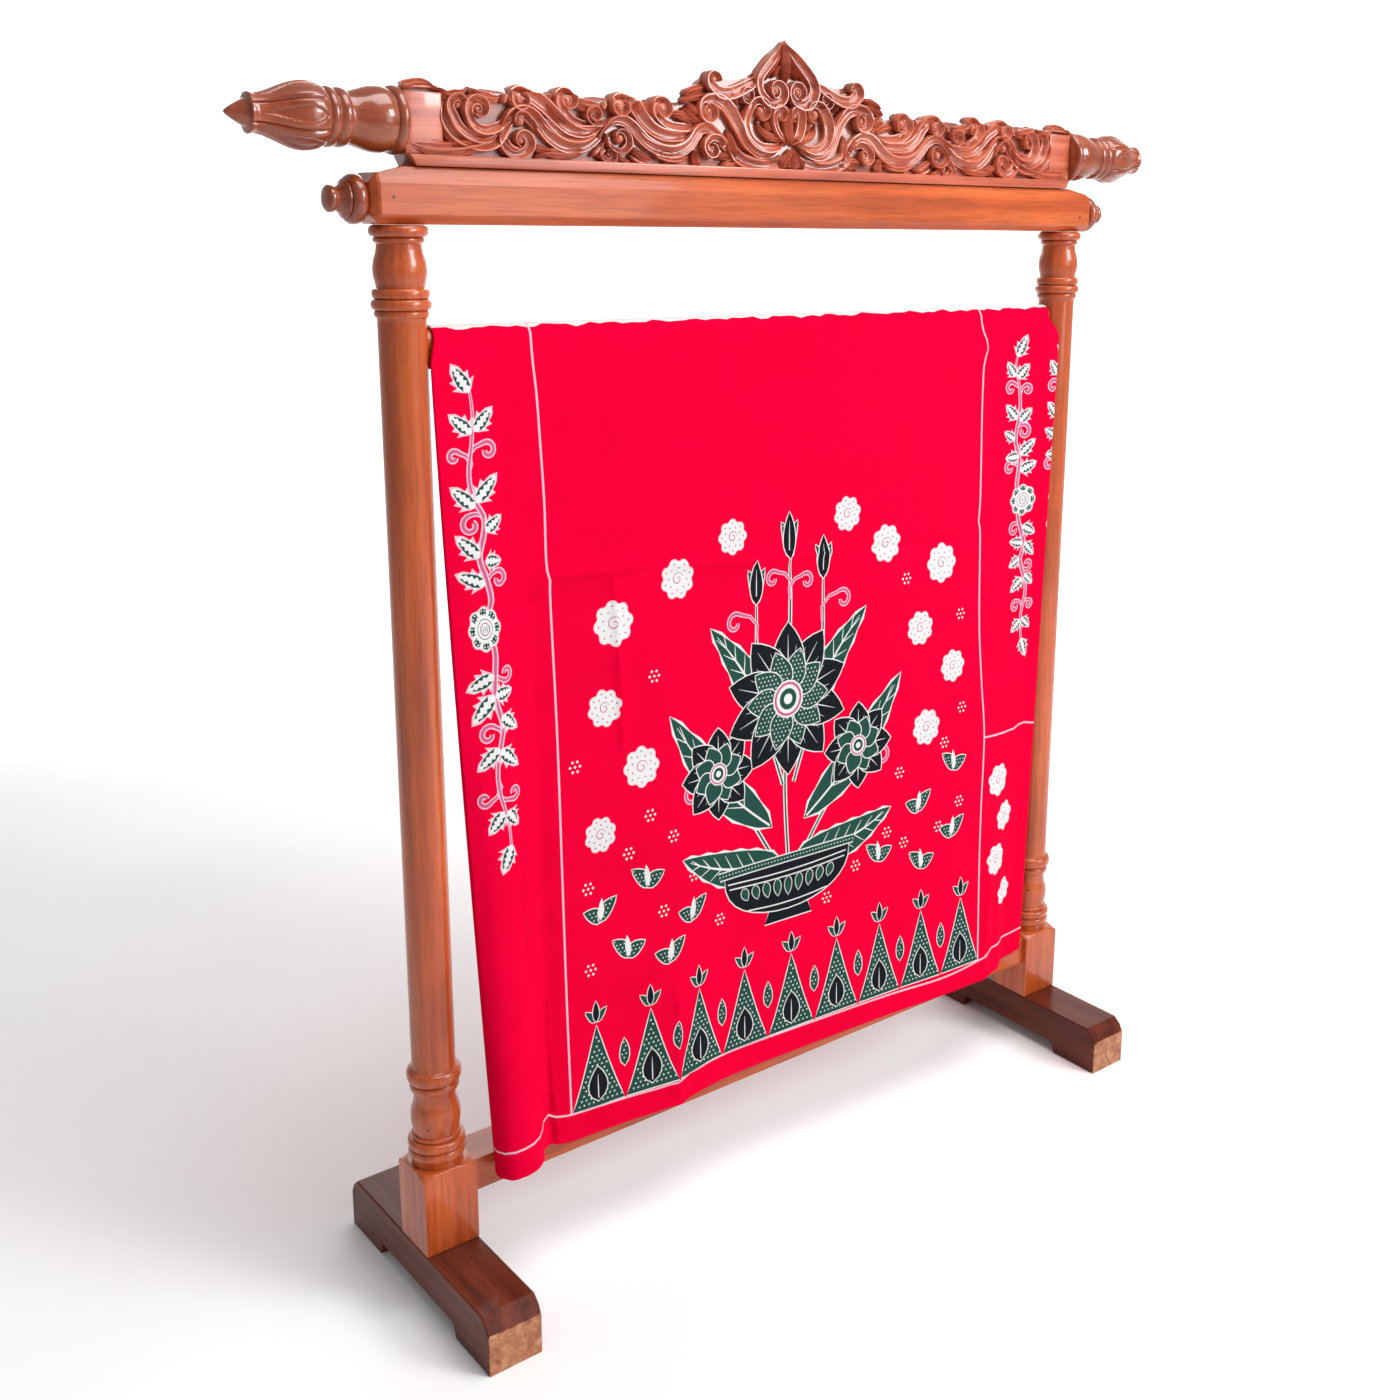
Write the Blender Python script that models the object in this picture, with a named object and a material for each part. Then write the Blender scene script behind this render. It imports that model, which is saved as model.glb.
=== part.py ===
"""A batik cloth hanging on its wooden stand.

The stand has two feet, two turned posts, a lower rail, a rail that carries the cloth, and a beam
with a crest board on it. The cloth is one sheet. Its two ends are folded behind its front, and all
its layers lie over the cloth rail and hang before the lower rail.

Lengths are in metres. X runs along the rails, -Y is the front and Z is up. The origin is on the
floor, midway between the posts.
"""

import math

import bmesh
import bpy
from mathutils import Vector

# The stand as a whole
POST_SPACING = 1.116
POST_X = POST_SPACING / 2
SEAT_GAP = 0.0003
EDGE_ROUND = 0.0018
CUTTER_SPARE = 0.010
TIP_RADIUS = 0.0005
CURVE_STEPS = 12

# Feet
FOOT_LENGTH = 0.386
FOOT_WIDTH = 0.074
FOOT_HEIGHT = 0.074
FOOT_ARCH_LENGTH = 0.214
FOOT_ARCH_HEIGHT = 0.018
FOOT_ARCH_SPLAY = 0.008
FOOT_TOE_RUN = 0.018
FOOT_TOE_DROP = 0.022
FOOT_TOE_KNEE = (0.35, 0.45)

# Square block at the bottom of each post
BLOCK_WIDTH = 0.074
BLOCK_LOW = FOOT_HEIGHT + SEAT_GAP
BLOCK_TOP = 0.187
BLOCK_CORNER_Z = 0.174
SHOULDER_ARC_STEPS = 3
NECK_RADIUS = 0.0322

# Beam and the crest board on it
BEAM_LOW = 1.3586
BEAM_FACE_TOP = 1.4122
BEAM_TOP = 1.4225
BEAM_LENGTH = 1.203
BEAM_WIDTH = 0.060
BEAM_END_CUT = 0.009
BEAM_RIDGE_LENGTH = 1.110
BEAM_RIDGE_WIDTH = 0.038
BEAM_MID_Z = (BEAM_LOW + BEAM_FACE_TOP) / 2

CREST_LOW = BEAM_TOP + SEAT_GAP
CREST_HALF_LENGTH = 0.5535
CREST_HALF_THICKNESS = 0.023
CREST_THIN_FROM_Z = 1.480
CREST_PEAK_Z = 1.600
CREST_PEAK_HALF_THICKNESS = 0.005
CREST_END_Z = 1.503
CREST_LEVEL_Z = 1.5105
CREST_WAVE_HEIGHT = 0.0028
CREST_WAVE_PITCH = 0.079
CREST_WAVE_SAMPLES = 28
CREST_END_RUN = 0.012
CREST_FOOT_CUT = (0.010, 0.020)
FINIAL_Z = 1.471

# Lower rail, between the blocks
RAIL_LOW = 0.136
RAIL_HIGH = 0.181
RAIL_WIDTH = 0.056

# Cloth rail, in a mortise in each post
CLOTH_RAIL_WIDTH = 0.022
CLOTH_RAIL_HEIGHT = 0.046
CLOTH_RAIL_LOW_WIDTH = 0.015
CLOTH_RAIL_TOP = 1.2419
MORTISE_DEPTH = 0.012
SHAFT_TOP_RADIUS = 0.0278
SHAFT_LOW_RADIUS = 0.0274

# Cloth
SHEET_THICKNESS = 0.0016
LAYER_STEP = 0.0026
CLOTH_SEAT_GAP = 0.0004
HEM_Z = 0.160
CLOTH_HALF_TOP = 0.5265
BACK_DROP = 0.035
FLAP_HEM_Y = -0.0322
FLAP_GAP = 0.010
FOLD_FADE = 1.25
# Below the rail the cloth's sides stand out a little, in front of the posts
FLARE_FROM_X = 0.43
FLARE_TOP_Z = 1.228
FLARE_FULL_Z = 1.183
FLARE_OUT = 0.012
FLARE_FORWARD = 0.013

POST_STEPS = 18
FINIAL_STEPS = 14
WRAP_STEPS = 8

# A post's turning. Bead rows hold low z, high z, root radius and crown radius
POST_LOWER_BEADS = (
    (0.1960, 0.2085, 0.0325, 0.0360),
    (0.2090, 0.2215, 0.0330, 0.0364),
    (0.2220, 0.2280, 0.0298, 0.0312),
)
POST_COLLAR_BEADS = (
    (0.2880, 0.2985, 0.0285, 0.0312),
    (0.3000, 0.3170, 0.0300, 0.0345),
)
POST_UPPER_BEADS = (
    (1.2555, 1.2635, 0.0290, 0.0310),
    (1.2640, 1.2760, 0.0305, 0.0342),
    (1.2765, 1.2880, 0.0295, 0.0328),
)
POST_TOP_BEADS = (
    (1.3385, 1.3445, 0.0268, 0.0290),
    (1.3450, 1.3575, 0.0288, 0.0336),
)
# Vase rows hold z and radius
POST_LOWER_VASE = (
    (0.2300, 0.0290),
    (0.2400, 0.0306),
    (0.2510, 0.0315),
    (0.2610, 0.0302),
    (0.2700, 0.0274),
    (0.2790, 0.0266),
    (0.2860, 0.0276),
)
POST_UPPER_VASE = (
    (1.2905, 0.0278),
    (1.3000, 0.0298),
    (1.3100, 0.0306),
    (1.3200, 0.0290),
    (1.3300, 0.0262),
    (1.3365, 0.0257),
)

# A finial's turning. Each row holds the distance from the crest's end and the radius
FINIAL_ROWS = (
    (0.0000, 0.0340),
    (0.0030, 0.0372),
    (0.0080, 0.0378),
    (0.0125, 0.0355),
    (0.0140, 0.0335),
    (0.0240, 0.0362),
    (0.0370, 0.0352),
    (0.0500, 0.0310),
    (0.0620, 0.0288),
    (0.0660, 0.0308),
    (0.0710, 0.0318),
    (0.0755, 0.0300),
    (0.0800, 0.0316),
    (0.0850, 0.0322),
    (0.0880, 0.0308),
    (0.0980, 0.0348),
    (0.1090, 0.0362),
    (0.1220, 0.0340),
    (0.1370, 0.0286),
    (0.1500, 0.0228),
    (0.1600, 0.0205),
    (0.1680, 0.0198),
    (0.1705, 0.0150),
    (0.1830, 0.0085),
    (0.1915, 0.0030),
)
FINIAL_LENGTH = 0.1935

# A beam knob's turning. Each row holds the distance from the beam's end and the radius
KNOB_ROWS = (
    (0.0000, 0.0200),
    (0.0030, 0.0262),
    (0.0090, 0.0278),
    (0.0150, 0.0262),
    (0.0180, 0.0215),
    (0.0210, 0.0208),
    (0.0250, 0.0150),
    (0.0290, 0.0125),
    (0.0320, 0.0142),
    (0.0370, 0.0150),
    (0.0405, 0.0120),
)
KNOB_LENGTH = 0.042

# Half of the crest's raised middle, from its point outwards. Each row holds x and z
CREST_MIDDLE = (
    (0.000, CREST_PEAK_Z),
    (0.008, 1.5930),
    (0.020, 1.5830),
    (0.034, 1.5680),
    (0.052, 1.5550),
    (0.070, 1.5480),
    (0.090, 1.5445),
    (0.106, 1.5460),
    (0.120, 1.5475),
    (0.132, 1.5440),
    (0.144, 1.5340),
    (0.158, 1.5200),
    (0.174, 1.5120),
)

# The cloth's front layer at its hem, seen from above, left to right: a soft roll at the left, long
# shallow waves, a step at the right. Each row holds x, y and how far the hem is lifted
FRONT_HEM = (
    (-0.4990, -0.0540, 0.000),
    (-0.4960, -0.0640, 0.000),
    (-0.4870, -0.0720, 0.000),
    (-0.4680, -0.0750, 0.001),
    (-0.4500, -0.0710, 0.002),
    (-0.4330, -0.0570, 0.003),
    (-0.4200, -0.0420, 0.005),
    (-0.4110, -0.0380, 0.006),
    (-0.4020, -0.0440, 0.005),
    (-0.3850, -0.0470, 0.003),
    (-0.3000, -0.0500, 0.001),
    (-0.2210, -0.0560, 0.000),
    (-0.1500, -0.0470, 0.002),
    (-0.0780, -0.0430, 0.001),
    (0.0510, -0.0500, 0.003),
    (0.1800, -0.0560, 0.003),
    (0.2950, -0.0620, 0.001),
    (0.3850, -0.0640, 0.002),
    (0.4250, -0.0580, 0.006),
    (0.4450, -0.0450, 0.010),
    (0.4620, -0.0400, 0.009),
    (0.4850, -0.0400, 0.012),
    (0.4980, -0.0395, 0.013),
)
# The folds at the cloth's sides, from behind to the front at the left and back again at the right
LEFT_FOLD_HEM = (
    (-0.4850, FLAP_HEM_Y, 0.003),
    (-0.4945, -0.0365, 0.001),
    (-0.4985, -0.0450, 0.000),
)
RIGHT_FOLD_HEM = (
    (0.5005, -0.0382, 0.013),
    (0.5010, -0.0360, 0.012),
    (0.4995, -0.0335, 0.011),
)
RIGHT_FLAP_HEM_X = 0.490
FLAP_LIFT = 0.004
FRONT_SAMPLES = 38
FLAP_SAMPLES = 4
# Heights of the cloth's rows, as shares of the way from the hem up to the cloth rail
ROW_SHARES = (0.0, 0.03, 0.08, 0.16, 0.28, 0.42, 0.57, 0.72, 0.85, 0.93, 0.957, 0.978, 1.0)


def clear_scene():
    for obj in list(bpy.data.objects):
        bpy.data.objects.remove(obj, do_unlink=True)


def wood():
    """Reddish brown varnished hardwood."""
    made = bpy.data.materials.new("varnished_wood")
    made.use_nodes = True
    shader = made.node_tree.nodes["Principled BSDF"]
    shader.inputs["Base Color"].default_value = (0.30, 0.085, 0.032, 1)
    shader.inputs["Roughness"].default_value = 0.32
    return made


def dyed_cotton():
    """Red dyed cotton."""
    made = bpy.data.materials.new("dyed_cotton")
    made.use_nodes = True
    shader = made.node_tree.nodes["Principled BSDF"]
    shader.inputs["Base Color"].default_value = (0.80, 0.003, 0.020, 1)
    shader.inputs["Roughness"].default_value = 0.85
    return made


def add_object(name, mesh, material, smooth_below=35):
    """One named object on the scene, smooth where its faces meet at a small angle."""
    mesh.materials.clear()
    mesh.materials.append(material)
    mesh.shade_smooth()
    mesh.set_sharp_from_angle(angle=math.radians(smooth_below))
    obj = bpy.data.objects.new(name, mesh)
    bpy.context.scene.collection.objects.link(obj)
    return obj


def mesh_of(bm, name):
    bmesh.ops.recalc_face_normals(bm, faces=bm.faces)
    mesh = bpy.data.meshes.new(name)
    bm.to_mesh(mesh)
    bm.free()
    return mesh


def turning(rows, steps, name):
    """A solid turned about Z. Each row holds z and radius, and the ends close on the axis."""
    bm = bmesh.new()
    points = [(rows[0][0], 0.0), *rows, (rows[-1][0], 0.0)]
    line = [bm.verts.new((radius, 0, z)) for z, radius in points]
    edges = [bm.edges.new(pair) for pair in zip(line, line[1:])]
    bmesh.ops.spin(
        bm,
        geom=[*line, *edges],
        cent=(0, 0, 0),
        axis=(0, 0, 1),
        angle=math.tau,
        steps=steps,
        use_merge=True,
    )
    bmesh.ops.remove_doubles(bm, verts=bm.verts, dist=1e-6)
    return mesh_of(bm, name)


def bead(low, high, root, crown, points=4):
    """A half-round bead, as rows of z and radius."""
    rows = []
    for k in range(points):
        angle = math.pi * k / (points - 1)
        z = (low + high) / 2 - (high - low) / 2 * math.cos(angle)
        rows.append((z, root + (crown - root) * math.sin(angle)))
    return rows


def prism(outline, thickness, name, cut=0.0):
    """A flat outline in X and Z given a thickness along Y. The edges of its faces are eased by cut."""
    bm = bmesh.new()
    face = bm.faces.new([bm.verts.new((x, -thickness / 2, z)) for x, z in outline])
    made = bmesh.ops.extrude_face_region(bm, geom=[face])
    moved = [item for item in made["geom"] if isinstance(item, bmesh.types.BMVert)]
    bmesh.ops.translate(bm, verts=moved, vec=(0, thickness, 0))
    if cut:
        rims = [e for e in bm.edges if abs(e.verts[0].co.y - e.verts[1].co.y) < 1e-6]
        bmesh.ops.bevel(
            bm,
            geom=rims,
            offset=cut,
            segments=1,
            profile=0.5,
            affect="EDGES",
            material=-1,
        )
    return mesh_of(bm, name)


def box(size, centre, name):
    bm = bmesh.new()
    bmesh.ops.create_cube(bm, size=1.0)
    bmesh.ops.scale(bm, verts=bm.verts, vec=size)
    bmesh.ops.translate(bm, verts=bm.verts, vec=centre)
    return mesh_of(bm, name)


def ease_edges(obj):
    """Eases the sharp edges of a sawn piece."""
    bevel = obj.modifiers.new("eased_edges", "BEVEL")
    bevel.width = EDGE_ROUND
    bevel.segments = 1
    bevel.limit_method = "ANGLE"
    bevel.angle_limit = math.radians(40)


def combine(base, steps, name):
    """Base mesh after Boolean steps, each an operation and a mesh."""
    body = bpy.data.objects.new(name, base)
    bpy.context.scene.collection.objects.link(body)
    helpers = []
    for operation, mesh in steps:
        helper = bpy.data.objects.new(name + "_" + operation.lower(), mesh)
        bpy.context.scene.collection.objects.link(helper)
        helpers.append(helper)
        boolean = body.modifiers.new(operation, "BOOLEAN")
        boolean.operation = operation
        boolean.solver = "EXACT"
        boolean.object = helper
    graph = bpy.context.evaluated_depsgraph_get()
    made = bpy.data.meshes.new_from_object(body.evaluated_get(graph))
    for helper in [body, *helpers]:
        bpy.data.objects.remove(helper, do_unlink=True)
    return made


def foot_mesh():
    """A foot seen from the side: two pads, the arch between them and cut toes. It lies along X."""
    half = FOOT_LENGTH / 2
    arch = FOOT_ARCH_LENGTH / 2
    splay = FOOT_ARCH_SPLAY
    knee_run, knee_drop = FOOT_TOE_KNEE
    outline = [
        (-half, 0.0),
        (-half, FOOT_HEIGHT - FOOT_TOE_DROP),
        (-half + FOOT_TOE_RUN * knee_run, FOOT_HEIGHT - FOOT_TOE_DROP * knee_drop),
        (-half + FOOT_TOE_RUN, FOOT_HEIGHT),
    ]
    outline += [(-x, z) for x, z in reversed(outline)]
    outline += [
        (arch, 0.0),
        (arch - splay, FOOT_ARCH_HEIGHT),
        (-arch + splay, FOOT_ARCH_HEIGHT),
        (-arch, 0.0),
    ]
    return prism(outline, FOOT_WIDTH, "foot", cut=EDGE_ROUND)


def post_turning():
    """Rows of z and radius from inside the block to the beam."""
    first_bead_z = POST_LOWER_BEADS[0][0]
    rows = [(BLOCK_CORNER_Z - CUTTER_SPARE, NECK_RADIUS), (first_bead_z - SEAT_GAP, NECK_RADIUS)]
    for row in POST_LOWER_BEADS:
        rows += bead(*row)
    rows += POST_LOWER_VASE
    for row in POST_COLLAR_BEADS:
        rows += bead(*row)
    rows += [(0.3180, SHAFT_LOW_RADIUS), (1.2540, SHAFT_TOP_RADIUS)]
    for row in POST_UPPER_BEADS:
        rows += bead(*row)
    rows += POST_UPPER_VASE
    for row in POST_TOP_BEADS:
        rows += bead(*row)
    rows.append((BEAM_LOW - SEAT_GAP, POST_TOP_BEADS[-1][2]))
    return [rows[0]] + [b for a, b in zip(rows, rows[1:]) if b[0] > a[0] + 1e-5]


def cloth_rail_outline(grow=0.0):
    """The cloth rail's section in Y and Z: round on top and narrower below."""
    radius = CLOTH_RAIL_WIDTH / 2 + grow
    centre_z = CLOTH_RAIL_TOP - CLOTH_RAIL_WIDTH / 2
    low_z = CLOTH_RAIL_TOP - CLOTH_RAIL_HEIGHT - grow
    low_y = CLOTH_RAIL_LOW_WIDTH / 2 + grow
    outline = [(-low_y, low_z)]
    for k in range(WRAP_STEPS + 1):
        angle = math.pi * k / WRAP_STEPS
        y = -radius * math.cos(angle)
        outline.append((y, centre_z + radius * math.sin(angle)))
    outline.append((low_y, low_z))
    return outline


def along_x(mesh, low_x, high_x):
    """Turns a prism of Y and Z section, made about its middle, to lie from low_x to high_x."""
    middle = (low_x + high_x) / 2
    for vertex in mesh.vertices:
        x, y, z = vertex.co
        vertex.co = Vector((middle - y, x, z))
    return mesh


def post_mesh():
    """The left post about its own axis: block, turning and the mortise for the cloth rail."""
    half = BLOCK_WIDTH / 2
    block = box(
        (BLOCK_WIDTH, BLOCK_WIDTH, BLOCK_TOP - BLOCK_LOW),
        (0, 0, (BLOCK_TOP + BLOCK_LOW) / 2),
        "block",
    )
    corner = half * math.sqrt(2)
    shoulder_rows = [(BLOCK_LOW - CUTTER_SPARE, corner + CUTTER_SPARE)]
    for k in range(SHOULDER_ARC_STEPS + 1):
        angle = math.pi / 2 * k / SHOULDER_ARC_STEPS
        z = BLOCK_CORNER_Z + (BLOCK_TOP - BLOCK_CORNER_Z) * math.sin(angle)
        shoulder_rows.append((z, half - EDGE_ROUND + (corner - half + EDGE_ROUND) * math.cos(angle)))
    shoulder_rows.append((BLOCK_TOP + CUTTER_SPARE, half - EDGE_ROUND))
    shoulder = turning(shoulder_rows, 2 * POST_STEPS, "shoulder")
    turned = turning(post_turning(), POST_STEPS, "turned_post")
    mortise_width = SHAFT_TOP_RADIUS + CUTTER_SPARE
    mortise = prism(cloth_rail_outline(SEAT_GAP), mortise_width, "mortise")
    mortise_start = SHAFT_TOP_RADIUS - MORTISE_DEPTH
    along_x(mortise, mortise_start, mortise_start + mortise_width)
    steps = [("INTERSECT", shoulder), ("UNION", turned), ("DIFFERENCE", mortise)]
    return combine(block, steps, "post")


def beam_mesh():
    """A squared beam with a hipped top, its ends cut back all round."""
    bm = bmesh.new()
    bmesh.ops.create_cube(bm, size=1.0)
    bmesh.ops.scale(
        bm, verts=bm.verts, vec=(BEAM_LENGTH, BEAM_WIDTH, BEAM_FACE_TOP - BEAM_LOW)
    )
    bmesh.ops.translate(bm, verts=bm.verts, vec=(0, 0, BEAM_MID_Z))
    bm.faces.ensure_lookup_table()
    top = max(bm.faces, key=lambda f: f.calc_center_median().z)
    made = bmesh.ops.extrude_face_region(bm, geom=[top])
    ridge = [item for item in made["geom"] if isinstance(item, bmesh.types.BMVert)]
    for vertex in ridge:
        vertex.co.x *= BEAM_RIDGE_LENGTH / BEAM_LENGTH
        vertex.co.y *= BEAM_RIDGE_WIDTH / BEAM_WIDTH
        vertex.co.z = BEAM_TOP
    if top.is_valid:
        bmesh.ops.delete(bm, geom=[top], context="FACES_ONLY")
    end_x = BEAM_LENGTH / 2 - 1e-4
    ends = [e for e in bm.edges if min(abs(v.co.x) for v in e.verts) > end_x]
    bmesh.ops.bevel(
        bm,
        geom=ends,
        offset=BEAM_END_CUT,
        segments=1,
        profile=0.5,
        affect="EDGES",
        material=-1,
    )
    return mesh_of(bm, "beam")


def crest_outline():
    """The crest board's outline in X and Z: a row of low waves and a raised, pointed middle."""
    half = [*CREST_MIDDLE]
    run_start = CREST_MIDDLE[-1][0]
    run_end = CREST_HALF_LENGTH - CREST_END_RUN
    for k in range(1, CREST_WAVE_SAMPLES + 1):
        x = run_start + (run_end - run_start) * k / CREST_WAVE_SAMPLES
        phase = (x - run_start) / CREST_WAVE_PITCH
        wave = abs(math.sin(math.pi * phase))
        half.append((x, CREST_LEVEL_Z + CREST_WAVE_HEIGHT * (2 * wave - 1)))
    cut_x, cut_z = CREST_FOOT_CUT
    half += [
        (CREST_HALF_LENGTH, CREST_END_Z),
        (CREST_HALF_LENGTH, CREST_LOW + cut_z),
        (CREST_HALF_LENGTH - cut_x, CREST_LOW),
    ]
    return half + [(-x, z) for x, z in reversed(half[1:])]


def crest_mesh():
    """The crest board, even in thickness below and thinner towards its peak on both faces."""
    bm = bmesh.new()
    bm.from_mesh(prism(crest_outline(), 2 * CREST_HALF_THICKNESS, "crest_board"))
    bmesh.ops.bisect_plane(
        bm,
        geom=[*bm.verts, *bm.edges, *bm.faces],
        plane_co=(0, 0, CREST_THIN_FROM_Z),
        plane_no=(0, 0, 1),
    )
    thinned = (CREST_HALF_THICKNESS - CREST_PEAK_HALF_THICKNESS) / CREST_HALF_THICKNESS
    for vertex in bm.verts:
        height = max(vertex.co.z - CREST_THIN_FROM_Z, 0.0)
        vertex.co.y *= 1 - thinned * height / (CREST_PEAK_Z - CREST_THIN_FROM_Z)
    return mesh_of(bm, "crest_board")


def laid_on_x(rows, length, steps, name):
    """A turning that lies along X and grows outwards from x = 0 towards -X."""
    mesh = turning([*rows, (length, TIP_RADIUS)], steps, name)
    for vertex in mesh.vertices:
        x, y, z = vertex.co
        vertex.co = Vector((-z, y, x))
    return mesh


def smooth_line(points, samples):
    """Points at even steps of arc length along a curve through all the points given."""
    ends = [points[0], *points, points[-1]]
    fine = []
    for a, b, c, d in zip(ends, ends[1:], ends[2:], ends[3:]):
        a, b, c, d = (Vector(p) for p in (a, b, c, d))
        for k in range(CURVE_STEPS):
            t = k / CURVE_STEPS
            fine.append(
                0.5
                * (
                    2 * b
                    + (c - a) * t
                    + (2 * a - 5 * b + 4 * c - d) * t**2
                    + (3 * b - a - 3 * c + d) * t**3
                )
            )
    fine.append(Vector(points[-1]))
    lengths = [0.0]
    for p, q in zip(fine, fine[1:]):
        lengths.append(lengths[-1] + (q - p).length)
    made, at = [], 0
    for k in range(samples + 1):
        goal = lengths[-1] * k / samples
        while at < len(fine) - 2 and lengths[at + 1] < goal:
            at += 1
        share = (goal - lengths[at]) / max(lengths[at + 1] - lengths[at], 1e-9)
        made.append(fine[at].lerp(fine[at + 1], share))
    return made


def smooth_step(value):
    value = min(max(value, 0.0), 1.0)
    return value * value * (3 - 2 * value)


def cloth_columns():
    """The cloth's section from one free end to the other, as columns of top x, top distance from
    the cloth rail, and the hem's x, y and lift. It runs behind the front, round the left fold,
    across the front, round the right fold and behind again."""
    inner = CLOTH_SEAT_GAP + SHEET_THICKNESS / 2
    outer = inner + LAYER_STEP
    turn = LAYER_STEP / 2
    straight = CLOTH_HALF_TOP - turn
    end_x = FLAP_GAP / 2
    columns = []
    for k in range(FLAP_SAMPLES):
        share = k / FLAP_SAMPLES
        top_x = -end_x + (end_x - straight) * share
        hem_x = -end_x + (end_x + LEFT_FOLD_HEM[0][0]) * share
        columns.append((top_x, inner, hem_x, FLAP_HEM_Y, FLAP_LIFT))
    for k, hem in enumerate(LEFT_FOLD_HEM):
        angle = math.pi * k / len(LEFT_FOLD_HEM)
        top_x = -straight - turn * math.sin(angle)
        columns.append((top_x, inner + turn * (1 - math.cos(angle)), *hem))
    for k, hem in enumerate(smooth_line(FRONT_HEM, FRONT_SAMPLES)):
        top_x = -straight + 2 * straight * k / FRONT_SAMPLES
        columns.append((top_x, outer, *hem))
    for k, hem in enumerate(RIGHT_FOLD_HEM, start=1):
        angle = math.pi * k / (len(RIGHT_FOLD_HEM) + 1)
        top_x = straight + turn * math.sin(angle)
        columns.append((top_x, outer - turn * (1 - math.cos(angle)), *hem))
    for k in range(FLAP_SAMPLES + 1):
        share = 1 - k / FLAP_SAMPLES
        top_x = end_x + (straight - end_x) * share
        hem_x = end_x + (RIGHT_FLAP_HEM_X - end_x) * share
        columns.append((top_x, inner, hem_x, FLAP_HEM_Y, FLAP_LIFT))
    return columns


def cloth_point(column, row):
    """Where a column of the cloth is at a row. Rows 0 to 1 climb from the hem to the cloth rail,
    1 to 2 wrap over it, and 2 to 3 hang down behind it."""
    top_x, top_out, hem_x, hem_y, lift = column
    radius = CLOTH_RAIL_WIDTH / 2
    centre_z = CLOTH_RAIL_TOP - radius
    reach = radius + top_out
    if row > 2:
        return Vector((top_x, reach, centre_z - BACK_DROP * (row - 2)))
    if row > 1:
        angle = math.pi * (row - 1)
        y = -reach * math.cos(angle)
        return Vector((top_x, y, centre_z + reach * math.sin(angle)))
    low = (1 - row) ** FOLD_FADE
    x = top_x + (hem_x - top_x) * low
    y = -reach + (hem_y + reach) * low
    z = HEM_Z + lift * low + (centre_z - HEM_Z - lift * low) * row
    side = smooth_step((abs(top_x) - FLARE_FROM_X) / (CLOTH_HALF_TOP - FLARE_FROM_X))
    flare = smooth_step((FLARE_TOP_Z - z) / (FLARE_TOP_Z - FLARE_FULL_Z))
    fade = min((z - HEM_Z) / (FLARE_FULL_Z - HEM_Z), 1.0)
    x += math.copysign(FLARE_OUT, top_x) * side * flare * fade
    y -= FLARE_FORWARD * side * flare * fade
    return Vector((x, y, z))


def cloth_mesh():
    columns = cloth_columns()
    rows = [*ROW_SHARES]
    rows += [1 + k / WRAP_STEPS for k in range(1, WRAP_STEPS + 1)]
    rows.append(3.0)
    bm = bmesh.new()
    bmesh.ops.create_grid(
        bm, x_segments=len(columns) - 1, y_segments=len(rows) - 1, size=0.5
    )
    for vertex in bm.verts:
        i = round((vertex.co.x + 0.5) * (len(columns) - 1))
        j = round((vertex.co.y + 0.5) * (len(rows) - 1))
        vertex.co = cloth_point(columns[i], rows[j])
    return mesh_of(bm, "cloth")


def build_stand(material):
    foot = foot_mesh()
    post = post_mesh()
    finial = laid_on_x(FINIAL_ROWS, FINIAL_LENGTH, FINIAL_STEPS, "finial")
    knob = laid_on_x(KNOB_ROWS, KNOB_LENGTH, FINIAL_STEPS, "knob")
    for side, name in ((-1, "left"), (1, "right")):
        turn = 0 if side < 0 else math.pi
        part = add_object("foot_" + name, foot, material)
        part.location = (side * POST_X, 0, 0)
        part.rotation_euler.z = math.pi / 2
        part = add_object("post_" + name, post, material)
        part.location = (side * POST_X, 0, 0)
        part.rotation_euler.z = turn
        part = add_object("finial_" + name, finial, material)
        part.location = (side * (CREST_HALF_LENGTH + SEAT_GAP), 0, FINIAL_Z)
        part.rotation_euler.z = turn
        part = add_object("beam_knob_" + name, knob, material)
        part.location = (side * (BEAM_LENGTH / 2 + SEAT_GAP), 0, BEAM_MID_Z)
        part.rotation_euler.z = turn

    rail_length = POST_SPACING - BLOCK_WIDTH - 2 * SEAT_GAP
    lower = box(
        (rail_length, RAIL_WIDTH, RAIL_HIGH - RAIL_LOW),
        (0, 0, (RAIL_LOW + RAIL_HIGH) / 2),
        "lower_rail",
    )
    add_object("lower_rail", lower, material)

    rail_end = POST_X - SHAFT_TOP_RADIUS + MORTISE_DEPTH - SEAT_GAP
    cloth_rail = prism(cloth_rail_outline(), 2 * rail_end, "cloth_rail")
    add_object("cloth_rail", along_x(cloth_rail, -rail_end, rail_end), material)

    ease_edges(add_object("beam", beam_mesh(), material))
    add_object("crest_board", crest_mesh(), material)


def build_cloth(material):
    cloth = add_object("batik_cloth", cloth_mesh(), material, smooth_below=60)
    solid = cloth.modifiers.new("thickness", "SOLIDIFY")
    solid.thickness = SHEET_THICKNESS
    solid.offset = 0.0
    solid.use_even_offset = True


def main():
    clear_scene()
    build_stand(wood())
    build_cloth(dyed_cotton())


main()
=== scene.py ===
"""A red batik cloth on a turned and carved wooden stand.

Lengths are in metres. X runs along the rails, -Y is the front and Z is up.
"""

import math
from bisect import bisect

import bmesh
import bpy
from mathutils import Matrix, Vector
from mathutils.geometry import delaunay_2d_cdt


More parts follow.
